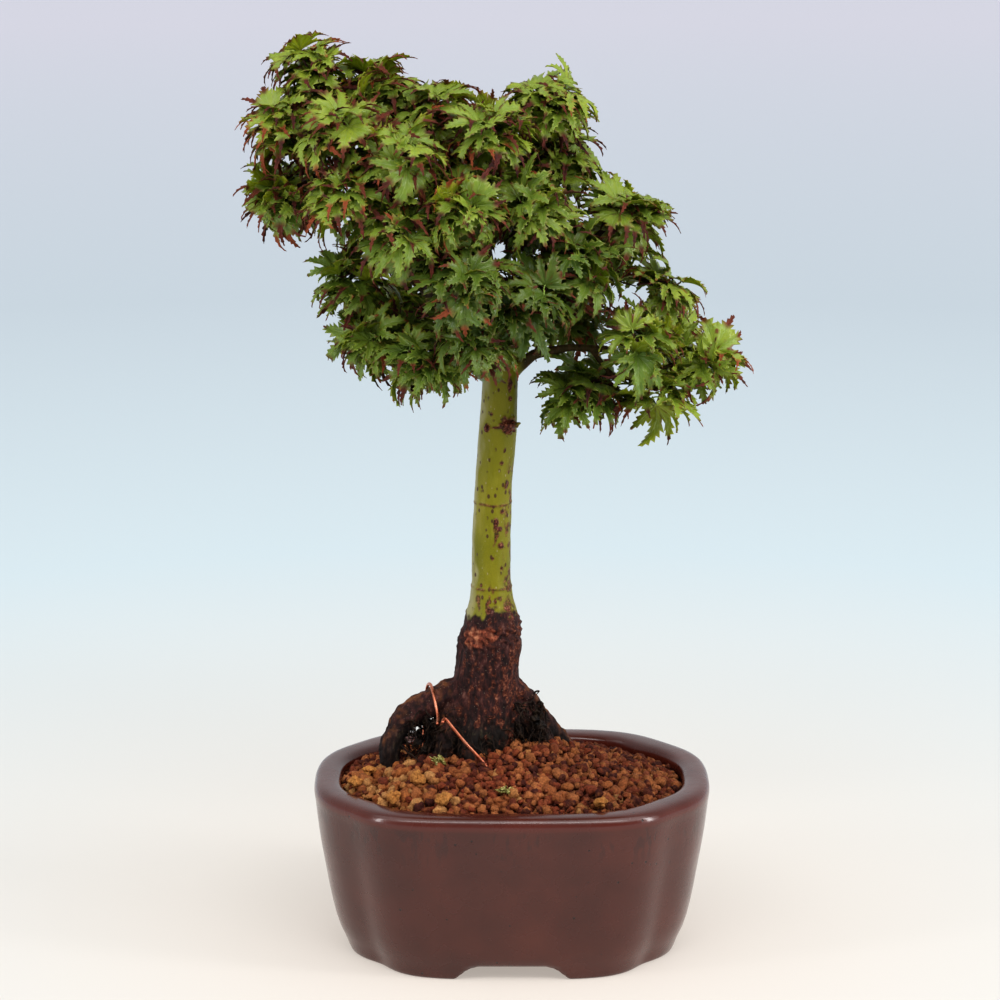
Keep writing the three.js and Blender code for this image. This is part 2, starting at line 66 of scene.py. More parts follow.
# ------------------------------------------------------------------ camera, light and floor
LENS = 126
CAMERA_DISTANCE = 1603
CAMERA_PITCH = math.radians(13.2)
CAMERA_AIM = POT_CENTRE + (-5.5, 0, 211.5)


def add_camera():
    camera = bpy.data.objects.new("camera", bpy.data.cameras.new("camera"))
    camera.data.lens = LENS
    camera.data.clip_end = 30
    back = np.array([0, -math.cos(CAMERA_PITCH), math.sin(CAMERA_PITCH)])
    camera.location = Vector((CAMERA_AIM + CAMERA_DISTANCE * back) * MM)
    camera.rotation_euler = (math.pi / 2 - CAMERA_PITCH, 0, 0)
    bpy.context.collection.objects.link(camera)
    bpy.context.scene.camera = camera


def add_lamp(name, width, height, watts, place):
    """A soft rectangular lamp, in metres, that faces the middle of the tree."""
    lamp = bpy.data.objects.new(name, bpy.data.lights.new(name, "AREA"))
    lamp.data.shape = "RECTANGLE"
    lamp.data.size = width
    lamp.data.size_y = height
    lamp.data.energy = watts
    lamp.location = place
    aim = Vector(CAMERA_AIM * MM) - Vector(place)
    lamp.rotation_euler = aim.to_track_quat("-Z", "Y").to_euler()
    bpy.context.collection.objects.link(lamp)


def add_sky(name, strength, direction):
    """Even light from a wide patch of sky."""
    sky = bpy.data.objects.new(name, bpy.data.lights.new(name, "SUN"))
    sky.data.energy = strength
    sky.data.angle = math.radians(55)
    sky.rotation_euler = Vector(direction).to_track_quat("-Z", "Y").to_euler()
    bpy.context.collection.objects.link(sky)


def linear(code):
    """A linear colour with alpha from a web colour such as '#4a2a26'."""
    parts = [int(code[k : k + 2], 16) / 255 for k in (1, 3, 5)]
    return [c / 12.92 if c <= 0.04045 else ((c + 0.055) / 1.055) ** 2.4 for c in parts] + [1]


# ------------------------------------------------------------------ materials
class Finish:
    """A procedural material, with short names for the nodes that it is wired from."""

    def __init__(self, name):
        self.material = bpy.data.materials.new(name)
        self.material.use_nodes = True
        self.tree = self.material.node_tree
        self.shader = self.tree.nodes["Principled BSDF"]
        self.place = self.add("TexCoord").outputs["Object"]

    def add(self, kind, inputs=None, **settings):
        node = self.tree.nodes.new("ShaderNode" + kind)
        for key, value in settings.items():
            setattr(node, key, value)
        for key, value in (inputs or {}).items():
            self.feed(node.inputs[key], value)
        return node

    def feed(self, socket, value):
        """Wires another node's output into a socket, or sets it to a number or a web colour."""
        if isinstance(value, bpy.types.NodeSocket):
            self.tree.links.new(value, socket)
        else:
            socket.default_value = linear(value) if isinstance(value, str) else value

    def set(self, **inputs):
        for key, value in inputs.items():
            self.feed(self.shader.inputs[key.replace("_", " ")], value)

    def math(self, operation, a, b=0.0, clamp=False):
        return self.add("Math", {0: a, 1: b}, operation=operation, use_clamp=clamp).outputs[0]

    def times(self, a, b):
        return self.math("MULTIPLY", a, b)

    def plus(self, a, b):
        return self.math("ADD", a, b)

    def minus(self, a, b):
        return self.math("SUBTRACT", a, b)

    def patches(self, size, detail, start, end):
        """1 in the patches where noise of this size passes end, and 0 where it stays below start."""
        return self.step(self.noise(size, detail), start, end)

    def mix(self, factor, a, b, blend="MIX"):
        node = self.add("Mix", data_type="RGBA", blend_type=blend)
        for index, value in ((0, factor), (6, a), (7, b)):
            self.feed(node.inputs[index], value)
        return node.outputs[2]

    def scaled(self, size, stretch=(1, 1, 1)):
        scale = [1 / (size * MM * s) for s in stretch]
        return self.add("VectorMath", {0: self.place, 1: scale}, operation="MULTIPLY").outputs[0]

    def noise(self, size, detail=3.0, stretch=(1, 1, 1), roughness=0.5):
        """Noise whose features are about size mm across, longer along each axis by stretch."""
        place = self.scaled(size, stretch)
        inputs = {"Vector": place, "Scale": 1.0, "Detail": detail, "Roughness": roughness}
        return self.add("TexNoise", inputs).outputs["Fac"]

    def cells(self, size, stretch=(1, 1, 1)):
        """Distance to the nearest of scattered points that are about size mm apart, in those units."""
        inputs = {"Vector": self.scaled(size, stretch), "Scale": 1.0}
        return self.add("TexVoronoi", inputs).outputs["Distance"]

    def ramp(self, factor, *stops):
        """Colours, or greys from a number, that blend between stops at these factors."""
        node = self.add("ValToRGB", {"Fac": factor})
        band = node.color_ramp.elements
        while len(band) < len(stops):
            band.new(1.0)
        for element, (position, value) in zip(band, stops):
            element.position = position
            element.color = linear(value) if isinstance(value, str) else (value, value, value, 1)
        return node.outputs["Color"]

    def step(self, value, start, end):
        """0 up to start and 1 from end, smooth between, or the other way round if end is lower."""
        inputs = {"Value": value, "From Min": start, "From Max": end}
        return self.add("MapRange", inputs, interpolation_type="SMOOTHSTEP").outputs["Result"]

    def attribute(self, name):
        """A vertex attribute's red, green and blue as three numbers, and its alpha."""
        node = self.add("Attribute", attribute_name=name)
        parts = self.add("SeparateColor", {"Color": node.outputs["Color"]}).outputs
        return parts[0], parts[1], parts[2], node.outputs["Alpha"]

    def bump(self, height, depth, strength=1.0):
        """A bumped normal: height of 0 to 1 stands for depth mm."""
        inputs = {"Height": height, "Distance": depth * MM, "Strength": strength}
        return self.add("Bump", inputs).outputs["Normal"]


def glaze_finish():
    """Dark red-brown glaze: redder where it thins at the rim, with short drips, pinholes and orange peel."""
    f = Finish("glaze")
    height = f.add("SeparateXYZ", {0: f.place}).outputs["Z"]
    cloud = f.noise(26, 3)
    colour = f.ramp(cloud, (0.3, "#431b14"), (0.55, "#4c2018"), (0.75, "#54251b"))
    drips = f.times(f.noise(2.2, 4, (1, 1, 4)), f.noise(14, 2))
    below_rim = f.times(f.step(height, 0.053, 0.069), f.step(height, 0.0775, 0.073))
    streaks = f.times(f.step(drips, 0.27, 0.34), below_rim)
    colour = f.mix(f.times(streaks, 0.5), colour, "#341a17")
    thin = f.times(f.step(height, 0.0745, 0.0765), f.step(height, 0.0805, 0.0780))
    colour = f.mix(f.times(thin, 0.45), colour, "#5f2418")
    holes = f.times(f.step(f.cells(7), 0.11, 0.06), f.patches(20, 1, 0.45, 0.55))
    colour = f.mix(f.times(holes, 0.8), colour, "#1c0d0b")
    peel = f.plus(f.times(f.noise(3.5, 2), 0.5), f.times(f.noise(9, 2), 0.5))
    relief = f.minus(peel, f.plus(holes, f.times(streaks, 0.35)))
    roughness = f.ramp(f.noise(12, 4), (0.3, 0.2), (0.7, 0.32))
    f.set(Base_Color=colour, Roughness=roughness, Normal=f.bump(relief, 0.25, 0.5))
    f.set(Coat_Weight=0.35, Coat_Roughness=0.12, Coat_Normal=f.bump(peel, 0.12, 0.5))
    return f.material


def grain_finish():
    """Baked clay grains, pitted and dusty. The attribute 'tone' gives each grain's colour."""
    f = Finish("clay_grains")
    tone = f.add("Attribute", attribute_name="tone").outputs["Color"]
    fine = f.noise(0.9, 4)
    mottled = f.mix(f.step(fine, 0.35, 0.7), f.mix(0.45, tone, "#2a0f07", "MULTIPLY"), tone)
    dusty = f.mix(f.times(f.patches(2.6, 3, 0.5, 0.72), 0.28), mottled, "#b5713f")
    pits = f.plus(f.times(f.noise(0.55, 3), 0.6), f.times(f.noise(1.6, 3), 0.7))
    f.set(Base_Color=dusty, Roughness=0.92, Normal=f.bump(pits, 0.9, 1.0))
    f.set(Specular_IOR_Level=0.25)
    return f.material


def bark_finish():
    """Smooth green bark above the graft, rough brown bark and roots below. Attribute 'bark' holds: red, how
    brown it is; green, scars; blue, how black it is, darker towards the bottom and with painted shade under
    the roots; alpha, soil dust. Attribute 'graft' holds: red, the copper wedge; green, root fibres; blue,
    weathered grey bark."""
    f = Finish("bark")
    brown, scar, black_low_and_shade_under, dust = f.attribute("bark")
    copper, fibre, weathered, _ = f.attribute("graft")
    green = f.ramp(f.noise(22, 2, (1, 1, 2)), (0.3, "#65640c"), (0.5, "#787414"), (0.7, "#8a8120"))
    green = f.mix(f.times(f.step(f.noise(3, 3, (1, 1, 3)), 0.5, 0.75), 0.25), green, "#98933a")
    green = f.mix(f.times(weathered, 0.7), green, "#a39c74")
    pores = f.times(f.step(f.cells(3.0, (1, 1, 1.6)), 0.28, 0.16), f.patches(9, 3, 0.43, 0.5))
    green = f.mix(f.times(pores, 0.85), green, "#45241d")
    flecks = f.times(f.step(f.cells(1.7, (1, 1, 2)), 0.24, 0.12), f.patches(7, 2, 0.46, 0.54))
    green = f.mix(f.times(flecks, 0.5), green, "#a79a7c")
    rough = f.noise(2.4, 5, (1, 1, 2.2), 0.65)
    rind = f.ramp(rough, (0.32, "#160b0b"), (0.48, "#2e1817"), (0.6, "#482622"), (0.75, "#755046"))
    sparks = f.times(f.step(f.cells(1.1), 0.2, 0.1), f.patches(4, 2, 0.5, 0.6))
    rind = f.mix(f.times(sparks, 0.55), rind, "#b09a86")
    black = f.ramp(rough, (0.35, "#0b0807"), (0.55, "#1d1714"), (0.72, "#3c3a2a"))
    # Black towards the bottom, and painted shade on the roots' undersides.
    rind = f.mix(black_low_and_shade_under, rind, black)
    rind = f.mix(f.times(dust, f.patches(3.2, 4, 0.35, 0.6)), rind, "#7c4c2c")
    wedge = f.ramp(rough, (0.36, "#35150f"), (0.5, "#8a4630"), (0.66, "#c08260"))
    rind = f.mix(f.times(copper, 0.9), rind, wedge)
    rind = f.mix(fibre, rind, f.ramp(rough, (0.4, "#0d0806"), (0.7, "#3a2a1c")))
    colour = f.mix(brown, green, rind)
    callus = f.ramp(f.noise(1.1, 4), (0.35, "#26120f"), (0.55, "#63301f"), (0.72, "#a06a50"))
    colour = f.mix(scar, colour, callus)
    relief = f.times(f.minus(rough, 0.5), brown)
    relief = f.plus(relief, f.times(f.noise(0.8, 3), 0.25))
    relief = f.plus(relief, f.times(pores, 0.12))
    roughness = f.mix(brown, (0.42, 0.42, 0.42, 1), (0.7, 0.7, 0.7, 1))
    f.set(Specular_IOR_Level=0.22)
    f.set(Base_Color=colour, Roughness=roughness, Normal=f.bump(relief, 0.9, 0.9))
    return f.material


def leaf_finish():
    """Crinkled maple leaf. Attribute 'leaf' holds: red, how dry it is; green, distance from the midrib; blue,
    distance along the lobe;
    alpha, 1 on the underside. Attribute 'tone' holds: red, how yellow it is, yellower when new and painted
    yellower where the tuft is sunlit;
    green, a random shade; blue, how rusty its dry parts are; alpha, painted shade: 1 in the open, less deep
    in the crown."""
    f = Finish("leaf")
    dry, across, along, under = f.attribute("leaf")
    youth_and_painted_sun, shade, rust, painted_light_level = f.attribute("tone")
    mottle = f.noise(5, 4)
    deep = f.ramp(mottle, (0.3, "#465f0f"), (0.7, "#6e8a1b"))
    fresh = f.ramp(mottle, (0.3, "#98a818"), (0.7, "#c4c634"))
    # Yellowing: new leaves, and sunlit tufts as painted sunlight, blend towards the fresh yellow-green.
    yellowing_and_painted_sun = f.math("ADD", f.times(youth_and_painted_sun, 0.75), f.times(shade, 0.3), clamp=True)
    blade = f.mix(yellowing_and_painted_sun, deep, fresh)
    edge = f.times(f.step(across, 0.62, 1.0), f.step(along, 0.25, 0.5))
    blade = f.mix(f.times(edge, 0.5), blade, "#c3bd3c")
    slant = f.minus(f.times(along, 9.0), f.times(across, 1.6))
    side_vein = f.math("ABSOLUTE", f.minus(f.math("FRACT", slant), 0.5))
    side_vein = f.times(f.step(side_vein, 0.1, 0.03), 0.45)
    vein = f.math("MAXIMUM", f.step(across, 0.13, 0.05), side_vein)
    blade = f.mix(f.times(vein, 0.6), blade, "#c0cf70")
    blade = f.mix(f.times(under, 0.45), blade, "#7fa050")
    dead = f.mix(rust, f.ramp(f.noise(2.5, 4), (0.35, "#2c0f0c"), (0.65, "#6e2a1f")), "#a3512a")
    edge_burn = f.times(f.step(across, 0.55, 0.9), f.patches(6, 2, 0.5, 0.6))
    burn = f.times(edge_burn, f.times(youth_and_painted_sun, 0.9))
    # Painted shade: leaves deep in the crown are darkened.
    blade = f.mix(f.minus(1.0, painted_light_level), blade, "#7f8a76", "MULTIPLY")
    colour = f.mix(f.math("MAXIMUM", dry, burn), blade, dead)
    relief = f.minus(f.noise(1.6, 3), f.times(vein, 0.8))
    f.set(Base_Color=colour, Normal=f.bump(relief, 0.35, 0.7))
    f.set(Roughness=f.mix(dry, (0.31, 0.31, 0.31, 1), (0.7, 0.7, 0.7, 1)))
    glow = f.add("BsdfTranslucent", {"Color": f.mix(0.35, colour, "#b9d84a")})
    blend = f.add("MixShader", {0: 0.22, 1: f.shader.outputs[0], 2: glow.outputs[0]})
    f.tree.links.new(blend.outputs[0], f.tree.nodes["Material Output"].inputs["Surface"])
    return f.material


def twig_finish():
    """Young wood and leaf stalks: attribute 'leaf' red is 0 on green stalks and 1 on red-brown twigs."""
    f = Finish("twig")
    woody, _, _, _ = f.attribute("leaf")
    stalk = f.ramp(f.noise(6, 2), (0.3, "#7d9a3a"), (0.7, "#9aa851"))
    wood = f.ramp(f.noise(2, 3), (0.3, "#3a2018"), (0.7, "#6b4030"))
    f.set(Base_Color=f.mix(woody, stalk, wood), Roughness=0.5, Normal=f.bump(f.noise(0.8, 3), 0.15))
    return f.material


def moss_finish():
    f = Finish("moss")
    colour = f.ramp(f.noise(1.2, 4), (0.3, "#3a3414"), (0.5, "#85803a"), (0.7, "#d2cb8e"))
    f.set(Base_Color=colour, Roughness=0.95, Normal=f.bump(f.noise(0.5, 3), 0.3))
    return f.material


def copper_finish():
    f = Finish("copper")
    colour = f.ramp(f.noise(5, 3), (0.3, "#c2694c"), (0.7, "#e39a7c"))
    f.set(Base_Color=colour, Metallic=1.0, Normal=f.bump(f.noise(0.7, 3, (1, 1, 3)), 0.06))
    f.set(Roughness=f.ramp(f.noise(3, 3), (0.3, 0.22), (0.7, 0.4)))
    return f.material


def plastic_finish():
    f = Finish("black_plastic")
    colour = f.ramp(f.noise(4, 3), (0.3, "#141414"), (0.7, "#232120"))
    f.set(Base_Color=colour, Roughness=0.55, Normal=f.bump(f.noise(0.4, 2), 0.05))
    return f.material


FLOOR_BLEND = 5.0  # metres over which the floor's colour turns


def floor_finish():
    """A plain pale floor that turns from cream to a cool blue-grey far away."""
    f = Finish("floor")
    far = f.add("VectorMath", {0: f.place}, operation="LENGTH").outputs["Value"]
    share = f.math("DIVIDE", far, FLOOR_BLEND)
    colour = f.ramp(share, (0.0, "#aca49c"), (0.15, "#98a2a6"), (0.35, "#90989e"), (0.9, "#9a9aa2"))
    f.set(Base_Color=colour, Roughness=0.9, Specular_IOR_Level=0.1)
    f.set(Emission_Color=colour, Emission_Strength=0.9)
    return f.material


GLAZE = glaze_finish()
GRAIN = grain_finish()
BARK = bark_finish()
LEAF = leaf_finish()
TWIG = twig_finish()
MOSS = moss_finish()
COPPER = copper_finish()
PLASTIC = plastic_finish()


# ------------------------------------------------------------------ mesh helpers
def unit(v):
    v = np.asarray(v, float)
    return v / max(np.linalg.norm(v), 1e-9)


def smoothstep(value, start, end):
    t = np.clip((np.asarray(value, float) - start) / (end - start), 0, 1)
    return t * t * (3 - 2 * t)


def value_noise(points, size, seed=0):
    """Smooth noise between -1 and 1, with features about size mm across, at each of the points."""
    cells = np.asarray(points, float) / size + 17.31 * seed
    base = np.floor(cells).astype(np.int64)
    t = cells - base
    t = t * t * (3 - 2 * t)
    total = np.zeros(len(cells))
    for corner in itertools.product((0, 1), repeat=3):
        k = base + corner
        h = (k[:, 0] * 73856093) ^ (k[:, 1] * 19349663) ^ (k[:, 2] * 83492791)
        h = (h ^ (h >> 13)) * 1274126177
        value = ((h ^ (h >> 16)) & 0xFFFF) / 32767.5 - 1
        weight = np.prod(np.where(corner, t, 1 - t), axis=1)
        total += weight * value
    return total


def make_mesh(name, points, faces):
    mesh = bpy.data.meshes.new(name)
    mesh.from_pydata((np.asarray(points) * MM).tolist(), [], [list(map(int, face)) for face in faces])
    mesh.shade_smooth()
    return mesh


def paint(mesh, name, colours):
    """Stores one colour for each vertex."""
    layer = mesh.color_attributes.new(name, "FLOAT_COLOR", "POINT")
    layer.data.foreach_set("color", np.asarray(colours, np.float32).ravel())


def add_piece(name, mesh, materials, slot, *stands_for):
    """Puts a piece in the scene, on the one body, in place of its CAD nodes."""
    piece = bpy.data.objects.new(name, mesh)
    for material in materials:
        mesh.materials.append(material)
    bpy.context.collection.objects.link(piece)
    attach(piece, "root")
    if stands_for:
        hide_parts(*stands_for)
    return piece


def settle(piece):
    """Applies a piece's modifiers to its mesh."""
    graph = bpy.context.evaluated_depsgraph_get()
    done = bpy.data.meshes.new_from_object(piece.evaluated_get(graph))
    piece.modifiers.clear()
    piece.data = done
    return done


def read_points(mesh):
    flat = np.empty(len(mesh.vertices) * 3, np.float32)
    mesh.vertices.foreach_get("co", flat)
    return flat.reshape(-1, 3).astype(float) / MM


def write_points(mesh, points):
    mesh.vertices.foreach_set("co", (np.asarray(points) * MM).astype(np.float32).ravel())
    mesh.update()


def read_normals(mesh):
    flat = np.empty(len(mesh.vertices) * 3, np.float32)
    mesh.vertices.foreach_get("normal", flat)
    return flat.reshape(-1, 3).astype(float)


def welded_copy(node):
    """A copy of a CAD node's mesh whose corners are shared again."""
    mesh = nodes[node].data.copy()
    mesh.materials.clear()
    piece = bpy.data.objects.new(node + "_copy", mesh)
    bpy.context.collection.objects.link(piece)
    weld = piece.modifiers.new("weld", "WELD")
    weld.merge_threshold = 0.01 * MM
    settled = settle(piece)
    bpy.data.objects.remove(piece)
    return settled


def ring_faces(rings, around):
    """Four-sided faces that join each ring of points to the next one."""
    faces = []
    for i in range(rings - 1):
        for k in range(around):
            a, b = i * around + k, i * around + (k + 1) % around
            faces.append([a, b, b + around, a + around])
    return faces


def tube(path, radii, sides):
    """A closed tube along a path of points: returns its points and faces."""
    path = np.asarray(path, float)
    steps = len(path)
    radii = np.broadcast_to(radii, steps)
    tangents = np.gradient(path, axis=0)
    across = np.array([0.31, 0.87, 0.38])
    points = []
    for centre, tangent, radius in zip(path, tangents, radii):
        tangent = unit(tangent)
        across = unit(across - tangent * across.dot(tangent))
        other = np.cross(tangent, across)
        for k in range(sides):
            turn = 2 * math.pi * k / sides
            points.append(centre + radius * (math.cos(turn) * across + math.sin(turn) * other))
    ends = [list(range(sides))[::-1], [(steps - 1) * sides + k for k in range(sides)]]
    return np.array(points), ends + ring_faces(steps, sides)


class Batch:
    """Collects many small shapes into one mesh with a colour attribute or two."""

    def __init__(self, *layers):
        self.points, self.faces, self.slots = [], [], []
        self.layers = {layer: [] for layer in layers}
        self.count = 0

    def add(self, points, faces, slot=0, **colours):
        self.points.append(points)
        self.faces += [[k + self.count for k in face] for face in faces]
        self.slots += [slot] * len(faces)
        for layer, values in self.layers.items():
            values.append(np.broadcast_to(colours[layer], (len(points), 4)))
        self.count += len(points)

    def mesh(self, name):
        mesh = make_mesh(name, np.concatenate(self.points), self.faces)
        mesh.polygons.foreach_set("material_index", self.slots)
        for layer, values in self.layers.items():
            paint(mesh, layer, np.concatenate(values))
        return mesh


# ------------------------------------------------------------------ pot
SIDE_LOBE_REACH = 61
FRONT_LOBE_REACH = 76
FRONT_TAPER = 0.9
LIP_WIDTH = 12.4
ARCH_HEIGHT = 7.2  # of the gaps between the feet
FRONT_GAP = 26.5  # half the width of the gap at the front and back, where it meets the ground
SIDE_GAP = 19.5  # the same at the sides
GAP_SLOPE = 8  # how far in from its end a gap reaches its full height
UNDERSIDE = 8.5
FLOOR_TOP = 15.5
DRAIN_X = 38
DRAIN_RADIUS = 9
POT_COLUMNS = 480

# The wall's section, from the underside to the rim and then from the rim to the floor, as in the CAD:
# [inset from the rim's outline, height, how sharp the crease between the lobes is].
OUTER_SECTION = [
    [25.2, 8.4, 30], [24.9, 5, 30], [24.6, 1.2, 30], [24.1, 0.3, 30], [23.2, 0, 30], [19.8, 0, 30],
    [17, 0, 32], [15.8, 0.3, 32], [15.1, 1.4, 34], [13.3, 6.5, 36], [10.2, 13.5, 38], [7.1, 27, 38],
    [4.6, 42, 38], [2.1, 56.5, 36], [0.7, 68.5, 30], [0.3, 72.4, 27], [0, 74.2, 25], [-0.25, 76.4, 23],
    [0, 78.6, 22], [1.3, 80.6, 20], [3.6, 81.45, 20],
]
INNER_SECTION = [
    [6.6, 81.5, 20], [9.4, 81.3, 20], [11.4, 80.3, 20], [12.4, 78.3, 20], [12.3, 74, 22], [11.2, 67, 24],
    [10.4, 58, 24], [12.6, 42, 24], [16, 25, 24], [19, 18, 24], [24, 15.7, 24], [30, 15.5, 24],
]


def superellipse(angle, a, b, power):
    return ((np.abs(np.cos(angle)) / a) ** power + (np.abs(np.sin(angle)) / b) ** power) ** (-1 / power)


def outline(angle, inset, sharpness, front_inset=None):
    """Distance from the pot's axis to its outline, inset: a wide oval crossed by a deep one."""
    if front_inset is None:
        front_inset = inset
    half_width, half_depth, _ = (POT_HIGH - POT_LOW) / 2
    side = superellipse(angle, half_width - inset, SIDE_LOBE_REACH - inset, 3)
    front = superellipse(angle, FRONT_LOBE_REACH - front_inset, half_depth - front_inset, 4)
    return (side**sharpness + front**sharpness) ** (1 / sharpness)


def smooth_section(section, passes):
    """Cuts each corner of a polyline again and again, so that it becomes a smooth curve."""
    line = np.array(section, float)
    for _ in range(passes):
        inner = np.stack([0.75 * line[:-1] + 0.25 * line[1:], 0.25 * line[:-1] + 0.75 * line[1:]], 1)
        line = np.concatenate([line[:1], inner.reshape(-1, line.shape[1]), line[-1:]])
    return line


def build_pot():
    """The pot, with its four feet raised out of a continuous foot ring, and its drain holes cut."""
    angle = np.linspace(0, 2 * math.pi, POT_COLUMNS, endpoint=False)
    outer = [[*station, station[0] * FRONT_TAPER] for station in OUTER_SECTION]
    inner = [[*station, station[0]] for station in INNER_SECTION]
    rings = []
    for inset, height, sharpness, front_inset in smooth_section(outer + inner, 1):
        r = outline(angle, inset, sharpness, front_inset)
        x, y = r * np.cos(angle), r * np.sin(angle)
        in_front = np.abs(y) > np.abs(x) * 0.9
        gap = np.where(in_front, FRONT_GAP - np.abs(x), SIDE_GAP - np.abs(y))
        arch = np.clip(ARCH_HEIGHT * gap / GAP_SLOPE, 0, ARCH_HEIGHT)
        arch = arch - 0.7 * np.exp(-(((gap - 8.4) / 1.6) ** 2)) * (gap > 0)
        z = np.maximum(height, arch) if inset > 9 and height < ARCH_HEIGHT else np.full_like(x, height)
        wobble = 0.35 * value_noise(np.stack([x, y, z], 1), 38, 3) * smoothstep(height, 8, 22)
        rings.append(np.stack([x + wobble * np.cos(angle), y + wobble * np.sin(angle), z], 1) + POT_CENTRE)
    points = np.concatenate(rings + [[POT_CENTRE + (0, 0, UNDERSIDE)], [POT_CENTRE + (0, 0, FLOOR_TOP)]])
    faces = ring_faces(len(rings), POT_COLUMNS)
    under, floor = len(points) - 2, len(points) - 1
    last = (len(rings) - 1) * POT_COLUMNS
    for k in range(POT_COLUMNS):
        after = (k + 1) % POT_COLUMNS
        faces += [[under, after, k], [floor, last + k, last + after]]
    piece = add_piece("glazed_pot", make_mesh("glazed_pot", points, faces), [GLAZE], "glaze", "pot")
    for side in (-1, 1):
        cut = drill(POT_CENTRE + (side * DRAIN_X, 0, 12), DRAIN_RADIUS, 20)
        hole = piece.modifiers.new("drain", "BOOLEAN")
        hole.object = cut
        hole.solver = "EXACT"
        settle(piece)
        bpy.data.objects.remove(cut)
    piece.data.shade_smooth()


def drill(centre, radius, length):
    """A round cutter that stands upright."""
    path = np.array([centre - (0, 0, length / 2), centre + (0, 0, length / 2)])
    points, faces = tube(path, radius, 48)
    cutter = bpy.data.objects.new("cutter", make_mesh("cutter", points, faces))
    bpy.context.collection.objects.link(cutter)
    return cutter


# ------------------------------------------------------------------ soil
SOIL_FLOOR = 70  # the soil's top surface doesn't reach below this height
RED_CODES = ("#89432a", "#a05f38", "#6d3422", "#ae6d42", "#552820", "#925034")
RED_GRAIN = [linear(code)[:3] for code in RED_CODES]
TAN_GRAIN = [linear(code)[:3] for code in ("#a36337", "#b07847", "#c08c58", "#985a32")]


def grain_shapes(rng, count, detail):
    """Angular clay grains of about 1 mm radius, to be scaled and turned."""
    made = []
    for seed in range(count):
        bpy.ops.mesh.primitive_ico_sphere_add(subdivisions=detail, radius=1)
        ball = bpy.context.object
        points = read_points(ball.data) * MM
        faces = [list(p.vertices) for p in ball.data.polygons]
        bpy.data.objects.remove(ball)
        bulge = 0.3 * value_noise(points, 0.7, seed) + 0.24 * value_noise(points, 0.36, seed + 50)
        flat = np.array([unit(rng.normal(size=3)) for _ in range(7)])
        chips = np.clip((points @ flat.T).max(axis=1) - 0.6, 0, 1) * 1.05
        made.append((points * (1 + bulge - chips)[:, None] * rng.uniform(0.82, 1.15, 3), faces))
    return made


def random_turn(rng):
    """A rotation matrix with no favoured direction."""
    x = unit(rng.normal(size=3))
    y = unit(np.cross(x, rng.normal(size=3)))
    return np.stack([x, y, np.cross(x, y)], 1)


def grain_tone(rng, place):
    """Ochre grains lie at the front left and a few at the front right; the middle and right are darker."""
    x, y, _ = place - POT_CENTRE
    tan_share = 0.8 * smoothstep(-x, 26, 58) * smoothstep(-y, -8, 26) + 0.03
    tan_share += 0.4 * smoothstep(-y, 46, 54) * smoothstep(x, 22, 34)
    palette = TAN_GRAIN if rng.random() < tan_share else RED_GRAIN
    colour = np.array(palette[rng.integers(len(palette))]) * rng.uniform(0.8, 1.15)
    colour = colour * (1 - 0.25 * smoothstep(x, 0, 40))
    return [*colour, 1]


class SoilTop:
    """Finds the height of the CAD soil below a point, and whether wood already fills the point."""

    def __init__(self):
        self.soil = self.tree("soil")
        self.wood = self.tree("tree_wood")

    @staticmethod
    def tree(node):
        mesh = nodes[node].data
        return BVHTree.FromPolygons([v.co for v in mesh.vertices], [p.vertices for p in mesh.polygons])

    def height(self, x, y):
        hit, _, _, _ = self.soil.ray_cast(Vector((x, y, 200)) * MM, Vector((0, 0, -1)))
        return hit.z / MM if hit else 0

    def in_wood(self, place, margin):
        near, normal, _, _ = self.wood.find_nearest(Vector(place) * MM)
        offset = Vector(place) * MM - near
        return offset.dot(normal) < margin * MM


def build_soil():
    """A dark bed just below the CAD soil's surface, with three layers of loose grains on it."""
    bed = welded_copy("soil")
    points = read_points(bed)
    top = smoothstep(points[:, 2], SOIL_FLOOR + 0.5, SOIL_FLOOR + 3.5)
    points[:, 2] -= 1.8 * top
    write_points(bed, points)
    paint(bed, "tone", np.tile(linear("#4a2416"), (len(points), 1)))
    add_piece("soil_bed", bed, [GRAIN], "soil_grains", "soil")

    rng = np.random.default_rng(7)
    shapes = grain_shapes(rng, 16, 2)
    top_of = SoilTop()
    half_width, half_depth, _ = (POT_HIGH - POT_LOW) / 2
    batches = {"front": Batch("tone"), "middle": Batch("tone"), "back": Batch("tone")}
    for layer, (spacing, lift, radius) in enumerate([(3.1, -1.5, 1.9), (3.4, 0.1, 2.1), (4.9, 1.6, 2.2)]):
        xs = np.arange(-half_width, half_width, spacing)
        for row, y0 in enumerate(np.arange(-half_depth, half_depth, spacing * 0.87)):
            for x0 in xs + (row % 2) * spacing / 2:
                x, y = x0 + rng.normal(0, spacing * 0.22), y0 + rng.normal(0, spacing * 0.22)
                size = radius * rng.lognormal(0, 0.24)
                angle = math.atan2(y, x)
                if math.hypot(x, y) > outline(np.array([angle]), LIP_WIDTH + 0.75 * size, 24)[0]:
                    continue
                place = np.array([x + POT_CENTRE[0], y + POT_CENTRE[1], 0])
                place[2] = top_of.height(place[0], place[1])
                if place[2] < SOIL_FLOOR:
                    continue
                place[2] += lift - 0.5 * size + rng.normal(0, 0.5)
                if top_of.in_wood(place, -0.5 * size):
                    continue
                tone = grain_tone(rng, place)
                if tone[0] > 0.3:
                    size *= 1.2
                body, faces = shapes[rng.integers(len(shapes))]
                band = "front" if y < -22 else "middle" if y < 20 else "back"
                batches[band].add(size * body @ random_turn(rng).T + place, faces, tone=tone)
    for band, batch in batches.items():
        add_piece(f"clay_grains_{band}", batch.mesh(f"clay_grains_{band}"), [GRAIN], "soil_grains")


